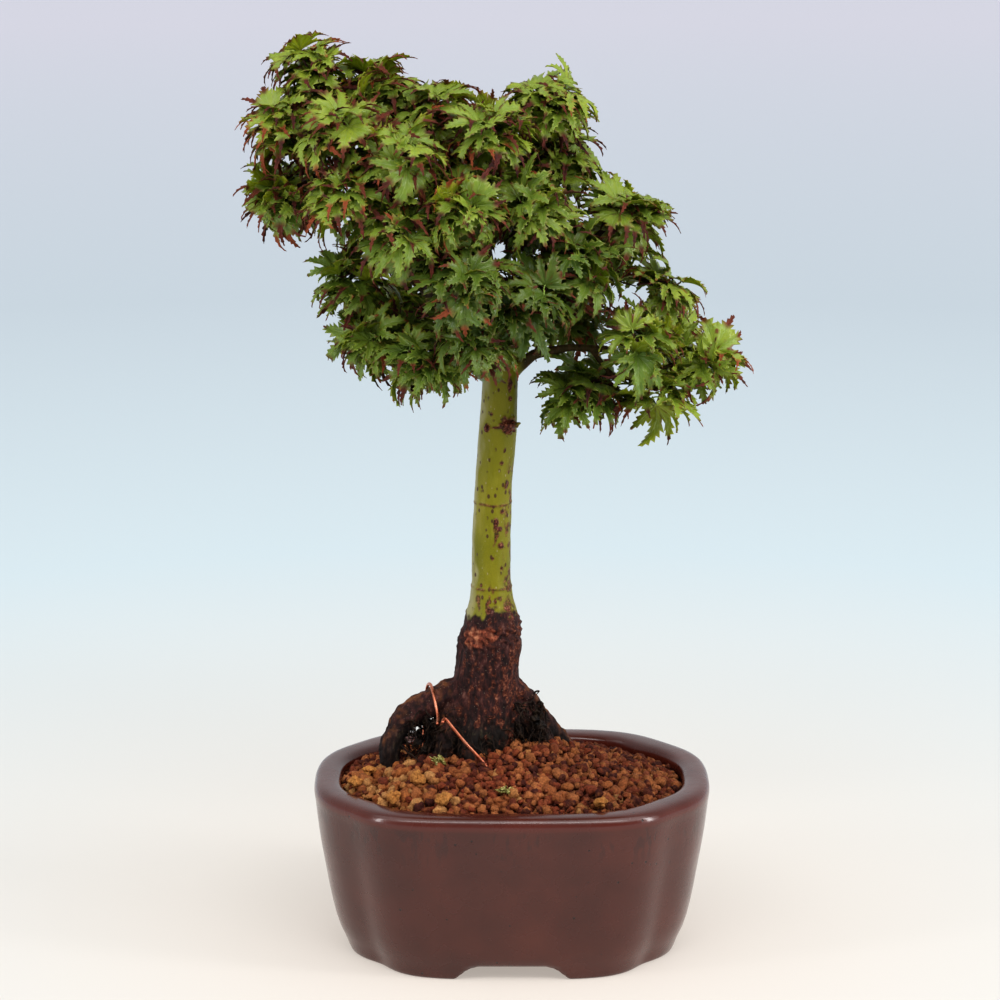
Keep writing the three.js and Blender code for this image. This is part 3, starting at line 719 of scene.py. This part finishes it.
def build_pale_lumps():
    """The largest, palest grains, each in its CAD lump's place."""
    rng = np.random.default_rng(11)
    shapes = grain_shapes(rng, 6, 4)
    for index, (body, faces) in enumerate(shapes, 1):
        node = f"pale_lump_{index}"
        low, high = box_mm(node)
        radii = (high - low) / 2
        body = body - (body.max(0) + body.min(0)) / 2
        body = body / ((body.max(0) - body.min(0)) / 2)
        points = body * radii + (low + high) / 2 - (0, 0, 0.9)
        mesh = make_mesh(node, points, faces)
        tone = np.array(linear("#bd8245")) * rng.uniform(0.85, 1.1)
        paint(mesh, "tone", np.tile(tone, (len(points), 1)))
        add_piece(f"pale_grain_{index}", mesh, [GRAIN], "pale_clay", node)


# ------------------------------------------------------------------ wood
GRAFT_TOP = 153.5
RINGS = (206, 166)  # heights of the old bud-scale rings on the green trunk
# Scars on the trunk: height, turn to the right of the front in degrees, half height and half width.
SCARS = [
    [244, 33, 4.6, 4.2], [242.6, -36, 1.7, 1.5], [242.8, -4, 0.7, 3.6], [197.5, 12, 2.6, 1.5],
    [195, 24, 1.4, 2], [187, 30, 1.7, 1.6], [215.8, 42, 2.2, 1.3], [156.9, 42, 1.6, 1.7],
    [262.7, 33, 3.4, 1.4], [256, 36, 1.4, 1.3], [226, 20, 1, 0.9], [232, 26, 1.2, 0.7],
    [249, -24, 0.9, 0.8], [203, 33, 1.4, 1.2], [181, 4, 1, 0.8], [176, 33, 1.2, 0.9],
    [160, -10, 1.6, 0.6], [161, 10, 1.7, 0.7], [168, -30, 1.2, 0.8],
]


def trunk_axis(height):
    """Where the middle of the trunk is at a height, and its radius, as in the CAD."""
    heights = [58, 89, 111, 130, 140, 149.5, 159, 169, 188, 216, 240, 258, 274]
    x = [-12, -15.8, -12.5, -11.1, -9.8, -9.1, -9.4, -9.6, -9.5, -8.4, -6.5, -5.6, -5.5]
    y = [10, 10, 10, 10, 10, 10, 10, 10, 10, 9, 8.5, 8, 8]
    r = [11, 18, 16.4, 14.7, 14.5, 13.1, 10.4, 9.1, 9, 8.6, 8.8, 8.3, 8]
    return [np.interp(height, heights, values) for values in (x, y, r)]


class Wood:
    """The wood's points, with masks of 0 to 1 that say which kind of bark each point has."""

    def __init__(self, mesh):
        self.points, self.normals = read_points(mesh), read_normals(mesh)
        self.local = self.points - POT_CENTRE - (0, 0, PLANT_LEVEL)
        self.height = self.local[:, 2]
        x, y, self.radius = trunk_axis(self.height)
        right = self.local[:, 0] - x
        self.turn = np.degrees(np.arctan2(right, y - self.local[:, 1]))  # 0 at the front, + to the right
        from_axis = np.hypot(right, self.local[:, 1] - y)
        self.on_trunk = smoothstep(from_axis, self.radius + 4.5, self.radius + 1.5)
        self.on_trunk *= smoothstep(self.height, 285, 270)
        ragged = 2.6 * self.noise(6, 1) + 3.2 * self.noise(2, 2) + 1.5 * np.sin(np.radians(self.turn + 60))
        self.brown = smoothstep(self.height, GRAFT_TOP + 2 + ragged, GRAFT_TOP - 1 + ragged)
        self.root = smoothstep(from_axis, self.radius + 1, self.radius + 4) * self.brown
        self.root *= smoothstep(self.height, 140, 120)
        self.folds = np.sin(1.7 * (self.height + 0.045 * self.turn) + 5 * self.noise(5, 9, (1, 1, 0.5)))

    def noise(self, size, seed, squeeze=(1, 1, 1)):
        """Noise with features about size mm across, and longer along an axis whose squeeze is below 1."""
        return value_noise(self.local * squeeze, size, seed)


def rough_relief(wood):
    """Plates, grit and knobs on the bark below the graft, and coarser lumps on the roots."""
    ridged = 1 - 2 * np.abs(wood.noise(4.2, 4, (1, 1, 0.45)))
    relief = wood.brown * (0.35 * ridged + 0.28 * wood.noise(1.7, 5) + 0.45 * wood.noise(9, 6))
    return relief + wood.root * (0.5 * wood.noise(5, 7) + 0.3 * wood.noise(2.6, 8))


def graft_relief(wood):
    """The graft: swollen, wrinkled bands, deepest in front, with a groove across them at the front right."""
    band = np.exp(-(((wood.height - 143.5 - 0.03 * wood.turn) / 4.2) ** 2)) * wood.on_trunk
    front = smoothstep(np.abs(wood.turn - 10), 130, 60)
    groove = np.exp(-(((wood.height - 145.6 + 0.06 * (wood.turn - 20)) / 0.8) ** 2)) * wood.on_trunk
    groove = groove * smoothstep(wood.turn, -20, 5) * front
    wrinkles = 0.75 * front * wood.folds + 0.6 * wood.noise(2, 21, (1, 1, 1.5)) + 0.6
    return band * wrinkles - 1.1 * groove


def green_relief(wood):
    """Smooth green bark's faint ripples, rings of old bud scales and scars, and a mask of the last two."""
    relief = (1 - wood.brown) * (0.16 * wood.noise(6, 10) + 0.05 * wood.noise(1.5, 11))
    scar = np.zeros(len(wood.points))
    for ring in RINGS:
        wavy = wood.height - ring + 0.5 * wood.noise(5, 12)
        line = np.exp(-((wavy / 0.55) ** 2)) * wood.on_trunk
        relief += 0.3 * line
        scar = np.maximum(scar, line * smoothstep(wood.noise(2.2, 13), -0.5, 0.2))
    for index, (z, degrees, half_height, half_width) in enumerate(SCARS):
        around = np.radians((wood.turn - degrees + 180) % 360 - 180) * wood.radius
        reach = np.hypot((wood.height - z) / half_height, around / half_width)
        patch = smoothstep(reach + 0.35 * wood.noise(1.6, 20 + index), 1.15, 0.75) * wood.on_trunk
        scar = np.maximum(scar, patch)
        lumpy = 0.5 + 0.9 * wood.noise(1.5, 40 + index)
        relief += patch * lumpy * min(1.3, 0.3 * half_height)
    return relief, scar


def trunk_marks(wood):
    """Dark specks along the trunk's right edge, dots up its front, and a patch below the lower ring."""
    turn, height = np.abs(wood.turn), wood.height
    right_edge = smoothstep(np.abs(wood.turn - 66), 34, 14) * smoothstep(height, 240, 205)
    specks = smoothstep(wood.noise(1.8, 18, (1, 1, 0.7)) + 0.5 * wood.noise(0.9, 19), -0.08, 0.25)
    dots = smoothstep(wood.noise(1.5, 23, (1, 1, 0.6)), 0.3, 0.55)
    dots = dots * smoothstep(np.abs(wood.turn - 14), 12, 6) * smoothstep(height, 215, 190)
    under_ring = smoothstep(wood.noise(1.6, 24, (1, 1, 0.5)), 0.25, 0.5)
    under_ring = under_ring * smoothstep(height, 170, 165) * smoothstep(turn, 70, 40)
    return wood.on_trunk * np.maximum.reduce([0.85 * right_edge * specks, 0.9 * dots, 0.8 * under_ring])


def bark_shades(wood):
    """How brown, black and dusty the bark is. The wood turns black towards the bottom, and the roots stay
    blackest on their undersides as painted shade; soil dust lies on their tops."""
    black_low_and_shade_under = smoothstep(wood.height + 5 * wood.noise(6, 15), 112, 96) * wood.brown
    # Painted shade: the roots' down-facing sides stay black, their tops less so.
    black_low_and_shade_under = black_low_and_shade_under * (1 - 0.55 * wood.root * smoothstep(wood.normals[:, 2], -0.3, 0.5))
    dust = wood.root * smoothstep(wood.normals[:, 2] + 0.7 * wood.noise(2.2, 16), 0.2, 1.1) * 0.7
    twiggy = smoothstep(wood.height, 255, 268) * (1 - wood.on_trunk)
    twiggy = np.maximum(twiggy, smoothstep(wood.height, 276, 292))
    return np.maximum(wood.brown, 0.85 * twiggy), black_low_and_shade_under, dust


def graft_shades(wood):
    """Where the copper-red wedge shows at the graft, and where the trunk's left side is weathered grey."""
    reach = np.hypot((wood.turn + 22) / 52, (wood.height - 145 - 0.03 * wood.turn) / 5)
    wedge = smoothstep(reach + 0.4 * wood.noise(2.2, 17), 1.0, 0.6) * wood.on_trunk
    wedge = wedge * (0.55 + 0.45 * smoothstep(wood.folds, -0.6, 0.2))
    weathered = smoothstep(25 * wood.noise(3, 22, (1, 1, 0.4)) - wood.turn, 42, 68)
    return wedge, weathered * smoothstep(-wood.turn, 140, 110) * wood.on_trunk


def build_wood():
    """The tree's wood: the CAD solid rounded, with bark relief, rings, scars and a wrinkled graft."""
    piece = add_piece("maple_wood", welded_copy("tree_wood"), [BARK], "bark", "tree_wood")
    remesh = piece.modifiers.new("remesh", "REMESH")
    remesh.mode = "VOXEL"
    remesh.voxel_size = 0.6 * MM
    relax = piece.modifiers.new("relax", "SMOOTH")
    relax.factor = 0.5
    relax.iterations = 10
    mesh = settle(piece)
    wood = Wood(mesh)
    ripples, scar = green_relief(wood)
    thin_limb = smoothstep(wood.height, 262, 300) * (1 - wood.on_trunk)
    relief = rough_relief(wood) + graft_relief(wood) + ripples + thin_limb * 0.12 * wood.noise(2.2, 14)
    write_points(mesh, wood.points + wood.normals * relief[:, None])
    brown, black_low_and_shade_under, dust = bark_shades(wood)
    scar = np.maximum(scar, trunk_marks(wood))
    paint(mesh, "bark", np.stack([brown, scar, black_low_and_shade_under, dust], 1))
    wedge, weathered = graft_shades(wood)
    nothing = np.zeros(len(wood.points))
    paint(mesh, "graft", np.stack([wedge, nothing, weathered, nothing + 1], 1))
    mesh.shade_smooth()


# Where fine roots mat together: the middle and half size of each place, from the pot's middle.
FIBRE_MATS = [[(-36, 2, 101), (12, 7, 10)], [(8, 4, 104), (8, 6, 12)], [(-16, -5, 98), (12, 4, 10)]]
FIBRES_PER_MAT = (200, 120, 70)


def build_fine_roots():
    """Hair roots that mat together under the left root and beside the trunk, and hang to the soil."""
    rng = np.random.default_rng(31)
    batch = Batch("bark", "graft")
    top_of = SoilTop()
    lumps = grain_shapes(rng, 4, 4)
    for (middle, reach), count in zip(FIBRE_MATS, FIBRES_PER_MAT):
        for _ in range(count // 9):
            points, faces = lumps[rng.integers(len(lumps))]
            spread = np.array(reach) * (0.7, 0.6, 0.7) * rng.uniform(-1, 1, 3)
            place = POT_CENTRE + middle + spread - (0, 0, 2)
            lump = rng.uniform(1.6, 3) * points @ random_turn(rng) + place
            batch.add(lump, faces, bark=[1, 0, 1, 0], graft=[0, 0.9, 0, 1])
        for _ in range(count):
            start = POT_CENTRE + middle + np.array(reach) * rng.uniform(-1, 1, 3)
            near, _, _, _ = top_of.wood.find_nearest(Vector(start) * MM)
            path = [np.array(near) / MM]
            heading = unit(start - path[0] + rng.normal(0, 2, 3))
            for _ in range(rng.integers(5, 10)):
                heading = unit(heading + rng.normal(0, 0.45, 3) + (0, 0, -0.35))
                path.append(path[-1] + 1.7 * heading)
            thick = rng.uniform(0.22, 0.6)
            points, faces = tube(smooth_section(path, 1), np.linspace(thick, 0.12, 2 * len(path)), 5)
            batch.add(points, faces, bark=[1, 0, 0.6, 0.1], graft=[0, 0.8, 0, 1])
    add_piece("fine_roots", batch.mesh("fine_roots"), [BARK], "bark")


# ------------------------------------------------------------------ wire, clips and screens
def build_rounded_copy(node, name, material, slot, swell):
    """A CAD wire, made round and smooth, with its thickness restored."""
    mesh = welded_copy(node)
    piece = add_piece(name, mesh, [material], slot, node)
    piece.modifiers.new("round", "SUBSURF").levels = 2
    mesh = settle(piece)
    write_points(mesh, read_points(mesh) + swell * read_normals(mesh))
    mesh.shade_smooth()


def finish_screen(node):
    """A drainage screen keeps its CAD shape and takes the plastic finish."""
    screen = nodes[node]
    screen.data.materials.clear()
    screen.data.materials.append(PLASTIC)


# ------------------------------------------------------------------ leaves
LOBE_LENGTH = 23
TEETH = 8
LOBE_SHARE = (1, 0.93, 0.74, 0.42)  # length of a lobe, from the middle one outwards
COLUMNS = (-1, -0.5, 0, 0.5, 1)
LEAF_THICKNESS = 0.22
LEAF_SHAPES = 30
SHOOTS_PER_TUFT = 4
LEAVES_PER_SHOOT = 6
SPARSE_BEYOND = 60  # tufts further right than this have one shoot fewer, and one leaf fewer on each shoot
LEAF_OVERHANG = 1.32  # how far leaves may hang out of their CAD tuft, as a share of its radius


def lobe_half_width(r, length, dry_from):
    t = np.clip(r / length, 0, 1)
    shrivel = 1 - 0.5 * smoothstep(t, dry_from, dry_from + 0.15)
    return 0.2 * length * (1 - t) ** 0.66 * shrivel


def flat_leaf(rng, angles, lengths, dry_from):
    """The leaf's outline and grid before it is bent: points in its plane, faces, and what is where."""
    step = LOBE_LENGTH / (2 * TEETH)
    spots, faces, facts = [], [], []
    for i, (angle, length) in enumerate(zip(angles, lengths)):
        rows = list(np.arange(0, length - 0.4 * step, step)) + [length]
        start = len(spots)
        for j, r in enumerate(rows):
            natural = lobe_half_width(r, length, dry_from[i])
            for column in COLUMNS:
                beside = i + (1 if column > 0 else -1)
                shift = 0.0
                width = natural
                if 0 <= beside < len(angles) and column != 0:
                    limit = r * math.tan(abs(angles[beside] - angle) / 2)
                    joined = limit <= min(natural, lobe_half_width(r, lengths[beside], dry_from[beside]))
                else:
                    limit = r * math.tan(math.radians(58))
                    joined = False
                if joined:
                    width = limit
                else:
                    tooth = 1.36 if j % 2 else 0.74
                    width = min(limit, natural) * (tooth if 0 < j < len(rows) - 1 else 1)
                    shift = (0.5 * width + (0.35 * step if j % 2 else 0)) * (j < len(rows) - 1)
                x, y = r + shift * column * column, width * column
                cos, sin = math.cos(angle), math.sin(angle)
                spots.append([x * cos - y * sin, x * sin + y * cos])
                dry = smoothstep(r / length, dry_from[i], dry_from[i] + 0.12)
                facts.append([dry, abs(column), r / length, abs(y)])
        for j in range(len(rows) - 1):
            for c in range(len(COLUMNS) - 1):
                a = start + j * len(COLUMNS) + c
                faces.append([a, a + len(COLUMNS), a + len(COLUMNS) + 1, a + 1])
    spots, facts = np.array(spots), np.array(facts)
    _, first, where = np.unique(np.round(spots, 3), axis=0, return_index=True, return_inverse=True)
    where = where.ravel()
    merged = []
    for face in faces:
        ring = [int(where[k]) for k in face]
        ring = [k for n, k in enumerate(ring) if k != ring[n - 1]]
        if len(ring) >= 3 and len(set(ring)) == len(ring):
            merged.append(ring[::-1])
    return spots[first], merged, facts[first]


def bend_leaf(flat, across, rng, angles, bends, lift):
    """Folds each lobe along its midrib, crinkles it, and curls it down towards its tip."""
    rho = np.hypot(flat[:, 0], flat[:, 1])
    theta = np.arctan2(flat[:, 1], flat[:, 0])
    theta = theta + np.interp(theta, angles, rng.normal(0, 0.16, len(angles))) * (rho / LOBE_LENGTH) ** 2
    bend = np.interp(theta, angles, bends)
    seeded = np.column_stack([flat, np.full(len(flat), rng.uniform(0, 500))])
    crinkle = 1.0 * value_noise(seeded, 4.2, 1) + 0.45 * value_noise(seeded, 2.1, 2)
    rise = 0.5 * across + crinkle * smoothstep(rho, 1, 7) * np.clip(across / 1.5, 0.15, 1)
    out, down = np.zeros(len(rho)), np.zeros(len(rho))
    steps = 12
    for k in range(steps):
        share = (k + 0.5) / steps
        slope = lift - bend * (share * rho / LOBE_LENGTH) ** 1.45
        out += np.cos(slope) * rho / steps
        down += np.sin(slope) * rho / steps
    slope = lift - bend * (rho / LOBE_LENGTH) ** 1.45
    out -= rise * np.sin(slope)
    down += rise * np.cos(slope)
    return np.column_stack([out * np.cos(theta), out * np.sin(theta), down])


def vertex_normals(points, faces):
    normals = np.zeros_like(points)
    for face in faces:
        a, b, c = points[face[0]], points[face[1]], points[face[2]]
        normal = np.cross(b - a, c - a)
        for k in face:
            normals[k] += normal
    return normals / np.maximum(np.linalg.norm(normals, axis=1), 1e-9)[:, None]


def thicken(points, faces, facts, thickness):
    """Closes a sheet into a thin solid, marking its underside."""
    count = len(points)
    below = points - thickness * vertex_normals(points, faces)
    edges = {}
    for face in faces:
        for a, b in zip(face, face[1:] + face[:1]):
            edges[a, b] = True
    rim = [[b, a, a + count, b + count] for a, b in edges if (b, a) not in edges]
    solid = faces + [[k + count for k in face[::-1]] for face in faces] + rim
    colours = np.column_stack([facts[:, :3], np.zeros(count)])
    under = colours.copy()
    under[:, 3] = 1
    return np.concatenate([points, below]), solid, np.concatenate([colours, under])


def leaf_shape(rng, dryness):
    """One crinkled leaf: its stalk meets it at the origin, its middle lobe is along +X, and +Z is its top."""
    reach = 3 if rng.random() < 0.55 else 2
    spread = math.radians(rng.uniform(36, 43))
    lobes = np.arange(-reach, reach + 1)
    angles = lobes * spread
    lengths = np.array([LOBE_LENGTH * LOBE_SHARE[abs(k)] * rng.uniform(0.92, 1.08) for k in lobes])
    withered = rng.random(len(angles)) < dryness
    dry_from = np.where(withered, rng.uniform(0.35, 0.7, len(angles)), rng.uniform(0.72, 0.96, len(angles)))
    flat, faces, facts = flat_leaf(rng, angles, lengths, dry_from)
    bends = np.radians(rng.uniform(40, 95, len(angles)) + 12 * np.abs(lobes) + 15 * withered)
    points = bend_leaf(flat, facts[:, 3], rng, angles, bends, math.radians(rng.uniform(8, 24)))
    return thicken(points, faces, facts, LEAF_THICKNESS)


def leaf_frame(direction, face):
    """Axes of a leaf that points along direction and turns its upper side towards face as far as it can."""
    x = unit(direction)
    z = unit(face - x * np.dot(face, x))
    return np.stack([x, np.cross(z, x), z], 1)


def tuft_light(centre):
    """How sunlit a tuft is, which paints its leaves yellower as painted sunlight; how deep it lies in the
    crown's middle, which darkens its leaves as painted shade; and what share of its leaves has withered.
    """
    sunlit = 0.24 + 0.5 * smoothstep(centre[2], 320, 390) + 0.7 * smoothstep(centre[0], 45, 85)
    sunlit += 0.12 * smoothstep(-centre[0], 20, 70)
    # Painted shade: tufts in the crown's middle front get darker leaves.
    depth = np.exp(-(((centre[0] - 5) / 50) ** 2) - ((centre[2] - 312) / 34) ** 2)
    withered = 0.25 + 0.7 * smoothstep(centre[2], 320, 385) * smoothstep(-centre[0], -60, 50)
    return sunlit, depth, withered


def build_tuft(node, pools, wood_points, crown, rng):
    """The leaves of one CAD tuft, on short shoots that spread over its space. Pairs of leaves stand round a
    shoot, the older and lower ones larger and hanging."""
    low, high = box_mm(node)
    centre, radii = (low + high) / 2, (high - low) / 2
    butt = wood_points[np.argmin(np.linalg.norm(wood_points - centre, axis=1))]
    outward = unit((centre - crown) * (1, 1, 0.5))
    sunlit, depth, withered = tuft_light(centre)
    batch = Batch("leaf", "tone")
    start = rng.uniform(0, 2 * math.pi)
    sparse = centre[0] > SPARSE_BEYOND
    shoots = SHOOTS_PER_TUFT - sparse
    leaves = LEAVES_PER_SHOOT - sparse
    for shoot in range(shoots):
        turn = start + 2 * math.pi * shoot / shoots + rng.normal(0, 0.25)
        rise = rng.uniform(-0.75, 0.8)
        level = math.sqrt(1 - rise * rise)
        u = np.array([math.cos(turn) * level, math.sin(turn) * level, rise])
        tip = centre + radii * u * (0.5, 0.5, 0.7)
        axis = unit(0.9 * u + 0.5 * outward + (0, 0, 0.55) + rng.normal(0, 0.25, 3))
        bow = np.array([0, 0, 0.08 * np.linalg.norm(tip - butt)])
        twig = smooth_section([butt, (butt + tip) / 2 + bow, tip - 3 * axis, tip], 2)
        points, faces = tube(twig, np.linspace(0.65, 0.4, len(twig)), 5)
        batch.add(points, faces, 1, leaf=[1, 0, 0, 0], tone=[0, 0, 0, 1])
        side = unit(np.cross(axis, rng.normal(size=3)))
        other = np.cross(axis, side)
        for k in range(leaves):
            age = 1 - (k + 0.5) / leaves
            spin = math.pi * k + math.pi / 2 * (k // 2) + rng.normal(0, 0.3)
            around = math.cos(spin) * side + math.sin(spin) * other
            hang = (0, 0, 0.15 - 0.45 * age)
            direction = unit(around + (0.5 - 0.8 * age) * axis + hang + rng.normal(0, 0.12, 3))
            face = unit(0.6 * axis + (0, 0, 1) + rng.normal(0, 0.25, 3))
            size = rng.uniform(0.62, 0.78) + 0.3 * age
            root = tip - axis * 6 * age
            base = root + direction * (2 + 6 * age)
            pool = pools[1] if rng.random() < withered else pools[0]
            body, leaf_faces, marks = pool[rng.integers(len(pool))]
            axes = leaf_frame(direction, face)
            placed = size * body @ axes.T + base
            allowed = radii * (LEAF_OVERHANG, LEAF_OVERHANG, 1.2 * LEAF_OVERHANG)
            reach = np.sqrt((((placed - centre) / allowed) ** 2).sum(1).max())
            slide = 0.8 * max(0, reach - 1) * radii * unit(direction + u)
            placed, base = placed - slide, base - slide
            rusty = 0.9 if rng.random() < 0.12 else rng.uniform(0, 0.35)
            # Painted light: the tone's red makes sunlit tufts' leaves yellower, and its alpha darkens leaves
            # deep in the crown as painted shade.
            youth_and_painted_sun = np.clip(sunlit + 0.3 * (0.5 - age) + rng.normal(0, 0.15), 0, 1)
            batch.add(placed, leaf_faces, 0, leaf=marks, tone=[youth_and_painted_sun, rng.random(), rusty, 1 - 0.7 * depth])
            stalk = smooth_section([root, (root + base) / 2 + (0, 0, 1), base + 0.4 * axes[:, 0]], 1)
            points, faces = tube(stalk, 0.36, 5)
            batch.add(points, faces, 1, leaf=[0, 0, 0, 0], tone=[0, 0, 0, 1])
    add_piece(node.replace("leaves_", "leaf_tuft_"), batch.mesh(node), [LEAF, TWIG], "leaf", node)


def build_leaves():
    rng = np.random.default_rng(21)
    green = [leaf_shape(rng, 0.12) for _ in range(LEAF_SHAPES // 2)]
    dry = [leaf_shape(rng, 0.85) for _ in range(LEAF_SHAPES // 2)]
    wood_points = read_points(nodes["tree_wood"].data)
    tufts = sorted(name for name in nodes if name.startswith("leaves_"))
    crown = np.mean([np.add(*box_mm(name)) / 2 for name in tufts], axis=0) - (0, 0, 30)
    for name in tufts:
        build_tuft(name, (green, dry), wood_points, crown, rng)


# ------------------------------------------------------------------ moss
def build_moss(node, name, blades, rng):
    """A cushion of short pointed blades over the CAD lump's place."""
    low, high = box_mm(node)
    centre, radii = (low + high) / 2, (high - low) / 2
    batch = Batch()
    for _ in range(blades):
        u = unit(rng.normal(size=3) * (1, 1, 0.7) + (0, 0, 0.5))
        root = centre - (0, 0, 1.2) + u * radii * rng.uniform(0.1, 0.7)
        tip = root + u * radii * rng.uniform(0.3, 0.6) + rng.normal(0, 0.3, 3)
        middle = (root + tip) / 2 + rng.normal(0, 0.3, 3)
        points, faces = tube([root, middle, tip], [0.45, 0.35, 0.08], 5)
        batch.add(points, faces)
    add_piece(name, batch.mesh(name), [MOSS], "moss", node)


# ------------------------------------------------------------------ the scene
FLOOR_RADIUS = 8000
FLOOR_SIDES = 96


def build_floor():
    turns = np.linspace(0, 2 * math.pi, FLOOR_SIDES, endpoint=False)
    ring = [[FLOOR_RADIUS * math.cos(a), FLOOR_RADIUS * math.sin(a), 0] for a in turns]
    mesh = make_mesh("floor", ring, [list(range(FLOOR_SIDES))])
    mesh.materials.append(floor_finish())
    floor = bpy.data.objects.new("floor", mesh)
    bpy.context.collection.objects.link(floor)


def build_light():
    world = bpy.data.worlds.new("studio")
    bpy.context.scene.world = world
    world.use_nodes = True
    tree = world.node_tree
    background = tree.nodes["Background"]
    background.inputs["Color"].default_value = (0.94, 0.97, 1.0, 1)
    direction = tree.nodes.new("ShaderNodeTexCoord")
    parts = tree.nodes.new("ShaderNodeSeparateXYZ")
    tree.links.new(direction.outputs["Generated"], parts.inputs[0])
    towards_back = tree.nodes.new("ShaderNodeMapRange")
    tree.links.new(parts.outputs["Y"], towards_back.inputs["Value"])
    for socket, value in (("From Min", -0.8), ("From Max", 0.8), ("To Min", 0.22), ("To Max", 0.62)):
        towards_back.inputs[socket].default_value = value
    tree.links.new(towards_back.outputs["Result"], background.inputs["Strength"])
    add_sky("sky_right", 1.1, (-0.5, 0.5, -1))
    add_sky("sky_left", 0.65, (0.5, 0.4, -1))
    add_lamp("window_front", 2.2, 0.22, 10, (0.0, -1.2, 1.5))
    add_lamp("window_left", 0.2, 0.9, 6, (-1.4, -0.7, 0.5))
    add_lamp("window_right", 0.2, 0.9, 8, (1.3, -0.5, 0.5))


add_camera()
bpy.context.scene.view_settings.view_transform = "Standard"
bpy.context.scene.view_settings.look = "Medium High Contrast"
build_light()
build_floor()
build_pot()
build_soil()
build_pale_lumps()
build_wood()
build_fine_roots()
build_rounded_copy("tie_wire", "copper_tie_wire", COPPER, "copper_wire", 0.1)
for side in ("left", "right"):
    build_rounded_copy(f"screen_clip_{side}", f"wire_clip_{side}", COPPER, "copper_wire", 0.07)
    finish_screen(f"drain_screen_{side}")
moss_rng = np.random.default_rng(5)
build_moss("moss_tuft_front", "moss_front", 70, moss_rng)
build_moss("moss_tuft_root", "moss_root", 90, moss_rng)
build_leaves()
